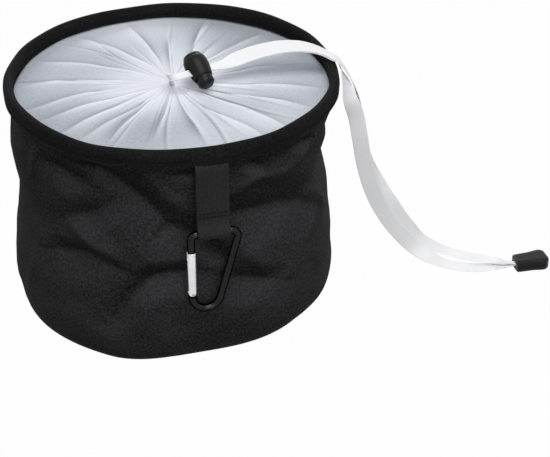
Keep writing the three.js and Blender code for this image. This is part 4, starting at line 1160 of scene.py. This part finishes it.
# Each main fold's crest: its angle in degrees at the near and at the far radius, where it starts and ends
# from the middle, its strength, and the side of its gentle slope, 1 towards rising angles
COVER_FOLDS = [
    (-178, -174, 26, 92, 1.0, 1), (-167, -165, 18, 46, 0.8, 1), (-163, -152, 24, 90, 1.0, 1),
    (-135.5, -126, 16, 88, 1.1, 1), (-109, -105, 30, 90, 1.0, 1), (-93, -84, 40, 90, 1.0, 1),
    (-72, -72.5, 16, 84, 0.9, 1), (-59.5, -59.5, 18, 84, 1.2, 1), (-43.5, -50, 28, 84, 0.9, 1),
    (-40, -39.5, 26, 78, 1.2, 1), (-16.5, -21.5, 14, 66, 1.1, 1), (-3, 2.5, 14, 76, 1.0, 1),
    (12, 25, 34, 90, 1.0, -1), (37, 36.5, 20, 92, 1.1, -1), (47, 55, 18, 88, 1.1, -1),
    (67, 72, 22, 88, 1.0, -1), (92.5, 97, 18, 70, 1.0, -1), (107, 107, 30, 90, 0.7, -1),
    (131, 128, 30, 90, 0.7, -1), (138.5, 141, 16, 60, 0.7, -1), (149, 154, 16, 88, 1.0, -1),
    (170.5, 169.5, 14, 62, 1.2, -1),
]
GATHERS = 48
# The radius where the net lies flat, and its edge from there up into the rim
COVER_FLAT = 94.0
COVER_HEM = [(95.2, -0.1), (95.9, 0.6), (96.1, 3.8), (96.5, 3.8), (96.4, 0.2), (95.4, -0.6)]
COVER_HEM_TONE = 0.25
# Waves like the wall's: slack in the net, and patches of tone
COVER_SLACK = (14, 4, 14, 0.2, 8)
COVER_PATCHES = (12, 2, 9, 0.17, 3191)
CASING_COLUMNS = 216
CASING_LENGTH = 300
CASING_TONE = 0.75
LOOP_COLUMNS = 200
LOOP_RADIUS = 5.75
LOOP_LENGTH = 60
LOOP_CRINKLE = [(0.75, 16, 0), (0.3, 27, 1)]

gather_rng = np.random.default_rng(11)
gather_angles = (np.arange(GATHERS) + gather_rng.uniform(-0.4, 0.4, GATHERS)) * FULL_TURN / GATHERS
gather_lengths = gather_rng.uniform(0.45, 1.2, GATHERS)
gather_depths = gather_rng.uniform(0.3, 1.0, GATHERS)
gather_bends = gather_rng.uniform(-0.12, 0.12, GATHERS)


def cover_hole(angle):
    """Edge of the hole: an oval round the flat ribbon that fills it."""
    ribbon_turn = math.atan2(ACROSS_LOCK[0], -ACROSS_LOCK[1])
    wide, narrow = COVER_HOLE
    return 1 / np.hypot(np.cos(angle - ribbon_turn) / wide, np.sin(angle - ribbon_turn) / narrow)


def arc_from(angle, middle, radius):
    """Distance round the cover from a radial line, less than half a turn either way."""
    return ((angle - middle + math.pi) % FULL_TURN - math.pi) * radius


def cover_folds(angle, radius):
    """Rise of the main folds, and their painted light and shade: a painted highlight on one side of the
    crest, painted shade on the other.
    """
    rise = np.zeros_like(radius)
    tone = np.zeros_like(radius)
    spacing = FULL_TURN * radius / len(COVER_FOLDS)
    share = (radius - FOLD_NEAR) / (FOLD_FAR - FOLD_NEAR)
    for near, far, start, end, strength, side in COVER_FOLDS:
        middle = np.radians(near + (far - near) * smoothstep(-0.3, 1.1, share))
        arc = side * arc_from(angle, middle, radius)
        reach = strength * smoothstep(start - 12, start + 8, radius)
        reach = reach * (1 - smoothstep(end - 26, end + 8, radius))
        from_crest = np.hypot(arc, CREST_ROUNDING) - CREST_ROUNDING
        slope = np.where(arc > 0, GENTLE_SLOPE, STEEP_SLOPE) * spacing
        rise += reach * np.minimum(FOLD_RISE * spacing, FOLD_RISE_LIMIT) * np.exp(-from_crest / slope)
        # Painted highlight on the gentle side of the crest, painted shade on the steep side
        pale = 0.28 * bell(arc, 0.14 * spacing) + 0.16 * bell(arc, 0.4 * spacing)
        shaded = 0.34 * np.exp(-np.abs(arc) / (0.1 * spacing)) + 0.2 * bell(arc, 0.3 * spacing)
        edge = np.tanh(arc / (0.2 + 0.006 * radius))
        tone += reach * (pale * np.maximum(edge, 0) + shaded * np.minimum(edge, 0))
    return rise, tone


def cover_gathers(angle, radius):
    """Rise of the fine gathers that run out from the middle, with a painted highlight along each ridge and
    painted shade in each crease.
    """
    rise = np.zeros_like(radius)
    tone = np.zeros_like(radius)
    spacing = FULL_TURN * radius / GATHERS
    along = radius / COVER_REACH
    for start, length, depth, bend in zip(gather_angles, gather_lengths, gather_depths, gather_bends):
        arc = arc_from(angle, start + bend * np.sin(3 * along + start), radius)
        strength = depth * (1 - smoothstep(0.45 * length, length, along)) * smoothstep(2, 9, radius)
        width = 0.25 + 0.06 * spacing
        line = bell(arc, width)
        ridge = np.exp(-((arc / width - 2.2) ** 2 / 1.5))
        rise += strength * np.minimum(GATHER_RISE * spacing, GATHER_RISE_LIMIT) * (ridge - line)
        # Painted highlight along the ridge and painted shade in the crease
        tone += strength * (0.26 * ridge - 0.4 * line) * np.minimum(spacing / 2, 1)
    return rise, tone


def cover_height(angle, radius):
    """Top of the cover, and its tone: pale where the net is bunched, grey where it is a single layer, with
    the folds' and gathers' painted light and shade added.
    """
    dome = COVER_EDGE + COVER_RISE * (1 - (radius / COVER_REACH) ** 2)
    funnel = -FUNNEL_DEPTH * smoothstep(8, 2, radius)
    folds, fold_painted_light = cover_folds(angle, radius)
    gathers, gather_painted_light = cover_gathers(angle, radius)
    rise = np.minimum(folds, 1.0 + 1.2 * smoothstep(40, 60, radius)) + gathers
    loose = smoothstep(COVER_FLAT, 70, radius) * smoothstep(5, 30, radius)
    slack = small_waves(angle, radius, *COVER_SLACK) * loose
    bunched = SINGLE_TONE + BUNCHED_TONE * smoothstep(62, 8, radius)
    bunched += small_waves(angle, radius, *COVER_PATCHES) * smoothstep(15, 45, radius)
    height = dome + funnel + rise * smoothstep(COVER_FLAT, 84, radius) + slack
    return height, bunched + fold_painted_light + gather_painted_light


def net_cover():
    angles = steps_round(COVER_COLUMNS)
    shares = np.concatenate([np.linspace(0, 0.1, 12), np.linspace(0.115, 1, 50)])
    radii = [cover_hole(angles) * (1 - share) + COVER_FLAT * share for share in shares]
    heights, tones = zip(*[cover_height(angles, radius) for radius in radii])
    rings = [around(radius, angles, height) for radius, height in zip(radii, heights)]
    under = [ring - np.array([0, 0, COVER_THICKNESS]) for ring in rings[::-1]]
    hem = [around(radius, angles, COVER_EDGE + rise) for radius, rise in COVER_HEM]
    travelled = [*radii, *[radius for radius, _ in COVER_HEM], *radii[::-1]]
    tones = [*tones, *[COVER_HEM_TONE for _ in COVER_HEM], *tones[::-1]]
    mesh = ring_mesh("cover", rings + hem + under, angles, FULL_TURN * COVER_REACH, travelled, tones)
    return place(mesh, "net_cover", net, "basket", ["mesh_cover"])


def casing():
    """Hem under the hole, open towards the middle, with the gathers' ripples in it."""
    angles = steps_round(CASING_COLUMNS)
    wide = CASING_RADIUS - CASING_HOLE
    outline = [
        (wide, 0.5), (1, 0.5), (0.3, 0.9), (0, 1.6), (0, 5.4), (0.3, 6.2), (1, 6.7), (wide, 6.7),
        (wide, 6.1), (1.2, 6.1), (0.7, 5.3), (0.7, 1.7), (1.2, 1.1), (wide, 1.1),
    ]
    waves = 0.3 * np.cos(GATHERS * angles) + 0.15 * np.cos(22 * angles + 1)
    rings = []
    for inset, drop in outline:
        radius = CASING_RADIUS - inset
        shaped = radius + waves * smoothstep(CASING_HOLE, CASING_RADIUS, radius)
        rings.append(around(shaped, angles, CASING_TOP - drop))
    tones = np.full(len(rings), CASING_TONE)
    mesh = ring_mesh("casing", rings, angles, CASING_LENGTH, np.arange(len(rings)) * 2.0, tones)
    return place(mesh, "net_casing", net, "basket", ["cover_hem"])


def casing_loop():
    """The ribbon's loop inside the casing, crinkled by the gathers."""
    angles = steps_round(LOOP_COLUMNS)
    crinkle = sines(angles, LOOP_CRINKLE)
    outline = [
        (-0.25, 134.75), (0.25, 134.75), (0.28, 136), (0.25, 138), (0.28, 139.2), (-0.25, 139.2),
        (-0.28, 138), (-0.25, 136),
    ]
    rings = [around(LOOP_RADIUS + across + crinkle, angles, height) for across, height in outline]
    mesh = as_mesh("loop", *loft(rings, closed=True))
    u = np.repeat([-2.2, -2.2, -1, 1, 2.2, 2.2, 1, -1], LOOP_COLUMNS)
    v = np.tile(angles / FULL_TURN * LOOP_LENGTH, len(outline))
    set_weave_map(mesh, np.stack([u, v], axis=-1))
    return place(mesh, "casing_loop", satin, "basket", ["drawstring_loop"])


cover = net_cover()
net_casing = casing()
casing_loop()

# Cord lock: local x runs along the ribbon and local z along the button

LOCK_UP = np.cross(LOCK_ALONG_BUTTON, LOCK_ALONG_RIBBON)
BARREL_RADIUS = 7.3
BARREL_END_RADIUS = 6.0
BARREL_MOUTH_RADIUS = 6.1
BARREL_BACK = -12.25
BARREL_FRONT = 5.25
BARREL_DOME = 3.2
BORE_RADIUS = 5.5
PLUNGER_RADIUS = 5.1
PLUNGER_TIP = 11.2
PLUNGER_BACK = -4.8
PLUNGER_CHAMFER = 1.8
LOCK_SIDES = 64
LOCK_SLOT = (1.4, 3.8)
PLUNGER_TRAVEL = 3.5
BORE_FLOOR = -10.75
BELLY_END = 4.2
BELLY_STEPS = 14
COIL_RADIUS = 3.6
COIL_WIRE = 0.8
COIL_TURNS = 3.5
COIL_ENDS = (-9.95, -5.6)


def at_lock(shape):
    return moved(shape, LOCK_CENTRE, LOCK_ALONG_RIBBON, LOCK_UP, LOCK_ALONG_BUTTON)


def lock_slot(low, high):
    """A flat channel for the ribbon, with round ends across its width."""
    half = LOCK_SLOT[0]
    ends = np.linspace(-math.pi / 2, math.pi / 2, 9)
    near = [(half * math.sin(t), low + half - half * math.cos(t)) for t in ends]
    far = [(half * math.sin(t), high - half + half * math.cos(t)) for t in ends[::-1]]
    return loft([[(x, y, z) for y, z in near + far] for x in (-16, 16)])


def lock_shell():
    dome = [
        (BARREL_END_RADIUS * math.sin(t) ** 0.7, BARREL_BACK + BARREL_DOME * (1 - math.cos(t)))
        for t in np.linspace(0, math.pi / 2, 13)
    ]
    along = np.linspace(BARREL_BACK + BARREL_DOME, BELLY_END, BELLY_STEPS)[1:]
    belly = np.sin(np.linspace(0, 1, BELLY_STEPS)[1:] ** 0.7 * math.pi) ** 0.8
    ends = np.linspace(BARREL_END_RADIUS, BARREL_MOUTH_RADIUS, BELLY_STEPS)[1:]
    side = [(end + (BARREL_RADIUS - end) * full, z) for end, full, z in zip(ends, belly, along)]
    mouth = [
        (BARREL_MOUTH_RADIUS - 0.3, BARREL_FRONT - 0.3), (BARREL_MOUTH_RADIUS - 0.7, BARREL_FRONT),
        (0, BARREL_FRONT),
    ]
    body = lathe([*dome, *side, *mouth], LOCK_SIDES)
    bore = lathe([(0, BORE_FLOOR), (BORE_RADIUS, BORE_FLOOR), (BORE_RADIUS, 8), (0, 8)], LOCK_SIDES)
    steps = [("DIFFERENCE", bore), ("DIFFERENCE", lock_slot(-LOCK_SLOT[1], LOCK_SLOT[1]))]
    mesh = carved("lock_shell", body, steps, at_lock, bevel=0.22)
    return place(mesh, "lock_shell", black_plastic, "lock", ["lock_barrel"], hard=True)


def lock_button():
    body = lathe([
        (0, PLUNGER_BACK), (PLUNGER_RADIUS, PLUNGER_BACK), (PLUNGER_RADIUS, PLUNGER_TIP - PLUNGER_CHAMFER),
        (PLUNGER_RADIUS - PLUNGER_CHAMFER, PLUNGER_TIP), (0, PLUNGER_TIP),
    ], LOCK_SIDES)
    slot = lock_slot(-LOCK_SLOT[1], LOCK_SLOT[1] + PLUNGER_TRAVEL)
    mesh = carved("lock_button", body, [("DIFFERENCE", slot)], at_lock, bevel=0.3)
    return place(mesh, "lock_button", black_plastic, "plunger", ["lock_plunger"], hard=True)


def lock_coil():
    """Spring behind the button, which shortens as the button is pressed."""
    turn = np.linspace(0, COIL_TURNS * FULL_TURN, 112)
    height = np.linspace(*COIL_ENDS, len(turn))
    line = np.stack([COIL_RADIUS * np.cos(turn), COIL_RADIUS * np.sin(turn), height], axis=-1)
    mesh = as_mesh("lock_coil", *at_lock(tube(line, COIL_WIRE / 2, 12)))
    piece = place(mesh, "lock_coil", spring_steel, "lock", ["lock_spring"])
    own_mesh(piece)


lock_shell()
lock_button()
lock_coil()

# Hanging tab: webbing sewn under the rim and folded round the carabiner's bar

TAB_WIDTH = 19.0
WEB_THICKNESS = 1.1
TAB_SIDES = 21
TAB_STEPS = 150
TAB_LOOP_MIDDLE = BAR_HEIGHT + 0.25
TAB_LOOP_RADIUS = 3.4
TAB_LOOP_FLARE = math.radians(30)
TAB_SEW_HEIGHTS = (108.6, 111.0)
TAB_SEW_HALF = 8.2
TAB_SEW_POINTS = 9
TAB_STITCH_STAND = 0.2
TAB_LEG = 0.6
TAB_LEG_END = TAB_LOOP_MIDDLE + 9
TAB_TOP = [(-99.5, 145.6), (-99.6, 144), (-99.9, 142.4), (-100.7, 141), (-101.5, 139.4), (-101.95, 137.9)]


def tab_path():
    """Middle of the webbing as (y, z): from under the rim down the front, round the bar and up the back."""
    start, end = math.pi - TAB_LOOP_FLARE, FULL_TURN + TAB_LOOP_FLARE
    loop = arc((TAB_PLANE, TAB_LOOP_MIDDLE), TAB_LOOP_RADIUS, start, end, 25)
    down = [(TAB_PLANE - TAB_LEG, z) for z in np.linspace(136.5, TAB_LEG_END, 14)]
    up = [(TAB_PLANE + TAB_LEG, z) for z in np.linspace(TAB_LEG_END, 139.6, 15)]
    return [*TAB_TOP, *down, *loop, *up]


def hang_tab():
    rough = np.array([(0, y, z) for y, z in tab_path()])
    reached = reached_along(rough)
    fine = np.linspace(0, reached[-1], TAB_STEPS)
    points = read_path(reached, rough, fine)
    across, out = path_frames(points, np.tile([1.0, 0.0, 0.0], (len(points), 1)))
    widths = np.full(len(points), TAB_WIDTH)
    rings, u = strip(points, across, out, widths, WEB_THICKNESS, TAB_SIDES)
    mesh = strip_mesh("tab", rings, u, TAB_WIDTH, fine)
    piece = place(mesh, "tab_webbing", web_cloth, None, ["hang_tab"])
    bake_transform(piece)
    return piece


def tab_stitches():
    x = np.linspace(-TAB_SEW_HALF, TAB_SEW_HALF, TAB_SEW_POINTS)
    shapes = []
    for height in TAB_SEW_HEIGHTS:
        for side in (-1.0, 1.0):
            face = TAB_PLANE + side * TAB_LEG + side * WEB_THICKNESS / 2
            points = np.stack([x, np.full(len(x), face), np.full(len(x), height)], axis=-1)
            shapes += stitches(points, np.tile([0, side, 0], (len(x), 1)), TAB_STITCH_STAND)
    sew("tab_stitches", "tab", shapes)


tab_webbing = hang_tab()
tab_stitches()

# Carabiner, drawn about the middle of its bar as (x, z)

ROD_RADIUS = 2.25
ROD_SIDES = 28
BAR_HALF = 9.7
NOSE_BEND = 3.4
NOSE_END = -10.9
SPINE_BEND = 4.4
SPINE_LEAN = math.radians(15.5)
BOW_RADIUS = 8.315
BOW_MIDDLE = (-4.785, -41.985)
HEEL_END = -41.485
GATE_RADIUS = 2.6
GATE_BORE = 1.5
RIVET_RADIUS = 0.8
RIVET_HALF = 2.6
LATCH_PIN_RADIUS = 0.6
LATCH_PIN_HALF = 2.45
LATCH_PIN = (GATE_X + 0.4, GATE_TOP - 2.9)
LATCH_FLOOR = GATE_TOP - 5.8
TANG_HALF = 0.9
SLOT_HALF = 1.2
EYE_RADIUS = 1.6
EYE_HOLE = 1.1
CLEAR = 6.0


def at_carabiner(shape):
    return shifted(shape, (0, TAB_PLANE, BAR_HEIGHT))


def along_y(body, x, z):
    return moved(body, (x, 0, z), (1, 0, 0), (0, 0, -1), (0, 1, 0))


def rod_path():
    corners = [
        *[(GATE_X, z) for z in np.linspace(NOSE_END, -NOSE_BEND, 8)[:-1]],
        *arc((-BAR_HALF, -NOSE_BEND), NOSE_BEND, math.pi, math.pi / 2, 12),
        *[(x, 0) for x in np.linspace(-BAR_HALF, BAR_HALF, 12)[1:-1]],
        *arc((BAR_HALF, -SPINE_BEND), SPINE_BEND, math.pi / 2, -SPINE_LEAN, 16),
    ]
    bow = arc(BOW_MIDDLE, BOW_RADIUS, -SPINE_LEAN, -math.pi, 34)
    spine = np.linspace(corners[-1], bow[0], 20)[1:-1]
    heel = [(GATE_X, HEEL_END)]
    return np.array([(x, 0, z) for x, z in [*corners, *map(tuple, spine), *bow, *heel]])


def pin(radius, half, x, z):
    """A round pin along y."""
    return along_y(lathe([(0, -half), (radius, -half), (radius, half), (0, half)], 32), x, z)


def snap_body():
    rod = tube(rod_path(), ROD_RADIUS, ROD_SIDES)
    blade = box_shape((GATE_X - 1.5, -TANG_HALF, LATCH_FLOOR + 0.6), (GATE_X + 0.9, TANG_HALF, NOSE_END + 1))
    latch_x, latch_z = LATCH_PIN
    notch = box_shape((latch_x - 0.9, -5, latch_z - 0.9), (GATE_X + CLEAR, 5, latch_z + 0.9))
    neck = box_shape(
        (GATE_X - EYE_RADIUS, -TANG_HALF, HEEL_END - 1), (GATE_X + EYE_RADIUS, TANG_HALF, PIVOT_Z)
    )
    steps = [
        ("UNION", blade), ("DIFFERENCE", notch), ("UNION", neck),
        ("UNION", pin(EYE_RADIUS, TANG_HALF, GATE_X, PIVOT_Z)),
        ("DIFFERENCE", pin(EYE_HOLE, 4, GATE_X, PIVOT_Z)),
    ]
    mesh = carved("snap_body", rod, steps, at_carabiner, bevel=0.2)
    return place(mesh, "snap_body", black_metal, "carabiner", ["carabiner_body"], hard=True)


def snap_gate():
    length = GATE_TOP - PIVOT_Z
    foot = [(GATE_RADIUS * math.sin(t), -GATE_RADIUS * math.cos(t)) for t in np.linspace(0, math.pi / 2, 10)]
    top = [
        (GATE_RADIUS, length - 0.35), (GATE_RADIUS - 0.1, length - 0.1), (GATE_RADIUS - 0.35, length),
        (0, length),
    ]
    barrel = shifted(lathe([*foot, *top], 48), (GATE_X, 0, PIVOT_Z))
    bore_top = LATCH_FLOOR - 8
    bore = lathe([(0, PIVOT_Z), (GATE_BORE, PIVOT_Z), (GATE_BORE, bore_top), (0, bore_top)], 24)
    cuts = [
        box_shape((GATE_X - CLEAR, -SLOT_HALF, PIVOT_Z - CLEAR), (GATE_X + CLEAR, SLOT_HALF, PIVOT_Z + 1.9)),
        box_shape((GATE_X - CLEAR, -SLOT_HALF, LATCH_FLOOR), (GATE_X + 1.2, SLOT_HALF, GATE_TOP + CLEAR)),
        shifted(bore, (GATE_X, 0, 0)),
        pin(RIVET_RADIUS, CLEAR, GATE_X, PIVOT_Z),
        pin(LATCH_PIN_RADIUS, CLEAR, *LATCH_PIN),
    ]
    mesh = carved("snap_gate", barrel, [("DIFFERENCE", cut) for cut in cuts], at_carabiner, bevel=0.14)
    return place(mesh, "snap_gate", bright_metal, "gate", ["carabiner_gate"], hard=True)


def domed_pin(name, node, material, radius, half, dome, at):
    """A pin along y whose two ends are slightly domed."""
    near = [(radius * t, -half - dome * (1 - t ** 2)) for t in np.linspace(0, 1, 5)]
    far = [(r, -y) for r, y in near[::-1]]
    points, faces = at_carabiner(along_y(lathe([*near, *far], 24), *at))
    mesh = as_mesh(name, points, faces, weld=True)
    return place(mesh, name, material, "gate", [node], hard=True)


snap_body()
snap_gate()
domed_pin("snap_rivet", "gate_rivet", rivet_metal, RIVET_RADIUS, RIVET_HALF, 0.2, (GATE_X, PIVOT_Z))
domed_pin(
    "snap_latch_pin", "gate_latch_pin", bright_metal, LATCH_PIN_RADIUS, LATCH_PIN_HALF, 0.12, LATCH_PIN
)

# Solids that stay as they are: the spring wire hoop, its ferrule and the gate spring

for node in ("rim_hoop", "hoop_ferrule", "gate_spring"):
    bpy.data.objects[node].data.materials.clear()
    bpy.data.objects[node].data.materials.append(spring_steel)

# Pale floor and plain soft light; the floor shows white to the camera and keeps part of the shadow

FLOOR_SIZE = 6.0
FLOOR_COLOR = (0.3, 0.3, 0.3, 1)
FLOOR_GLOW_SHARE = 0.985
AMBIENT_STRENGTH = 0.2
LAMPS = {
    "key": ((0.05, -0.55, 1.4), 1.1, 14.3),
    "front": ((0.0, -1.5, 0.55), 0.9, 7.0),
    "fill": ((0.95, -0.75, 0.75), 0.8, 0.4),
    "back": ((0.15, 1.5, 0.65), 0.9, 14.0),
}
LAMP_TARGET = (0.02, 0.0, 0.08)


def seen_directly(tree):
    """1 for rays that show the surroundings: straight to the camera, mirrored or through glass."""
    rays = add_node(tree, "LightPath", {}).outputs
    mirrored = calc("MAXIMUM", Signal(rays["Is Glossy Ray"]), Signal(rays["Is Transmission Ray"]))
    return calc("MAXIMUM", Signal(rays["Is Camera Ray"]), mirrored)


def floor_material():
    material, tree = empty_material("floor")
    matt = add_node(tree, "BsdfDiffuse", {"Color": FLOOR_COLOR})
    glow = add_node(tree, "Emission", {"Strength": 1.0})
    share = seen_directly(tree) * FLOOR_GLOW_SHARE
    mix = add_node(tree, "MixShader", {0: share, 1: Signal(matt.outputs[0]), 2: Signal(glow.outputs[0])})
    add_node(tree, "OutputMaterial", {0: Signal(mix.outputs[0])})
    return material


def studio():
    half = FLOOR_SIZE / 2
    mesh = bpy.data.meshes.new("floor")
    corners = [(-half, -half, 0), (half, -half, 0), (half, half, 0), (-half, half, 0)]
    mesh.from_pydata(corners, [], [(0, 1, 2, 3)])
    mesh.materials.append(floor_material())
    floor = add_object("floor", mesh)
    world = bpy.data.worlds.new("studio")
    world.use_nodes = True
    tree = world.node_tree
    strength = seen_directly(tree) * (1 - AMBIENT_STRENGTH) + AMBIENT_STRENGTH
    set_inputs(tree.nodes["Background"], {"Color": (1, 1, 1, 1), "Strength": strength})
    bpy.context.scene.world = world
    for name, (location, size, power) in LAMPS.items():
        lamp = bpy.data.lights.new(name, "AREA")
        lamp.size = size
        lamp.energy = power
        holder = add_object(name, lamp)
        holder.location = location
        toward = Vector(LAMP_TARGET) - Vector(location)
        holder.rotation_euler = toward.to_track_quat("-Z", "Y").to_euler()
    bpy.context.scene.view_settings.view_transform = "Standard"


studio()
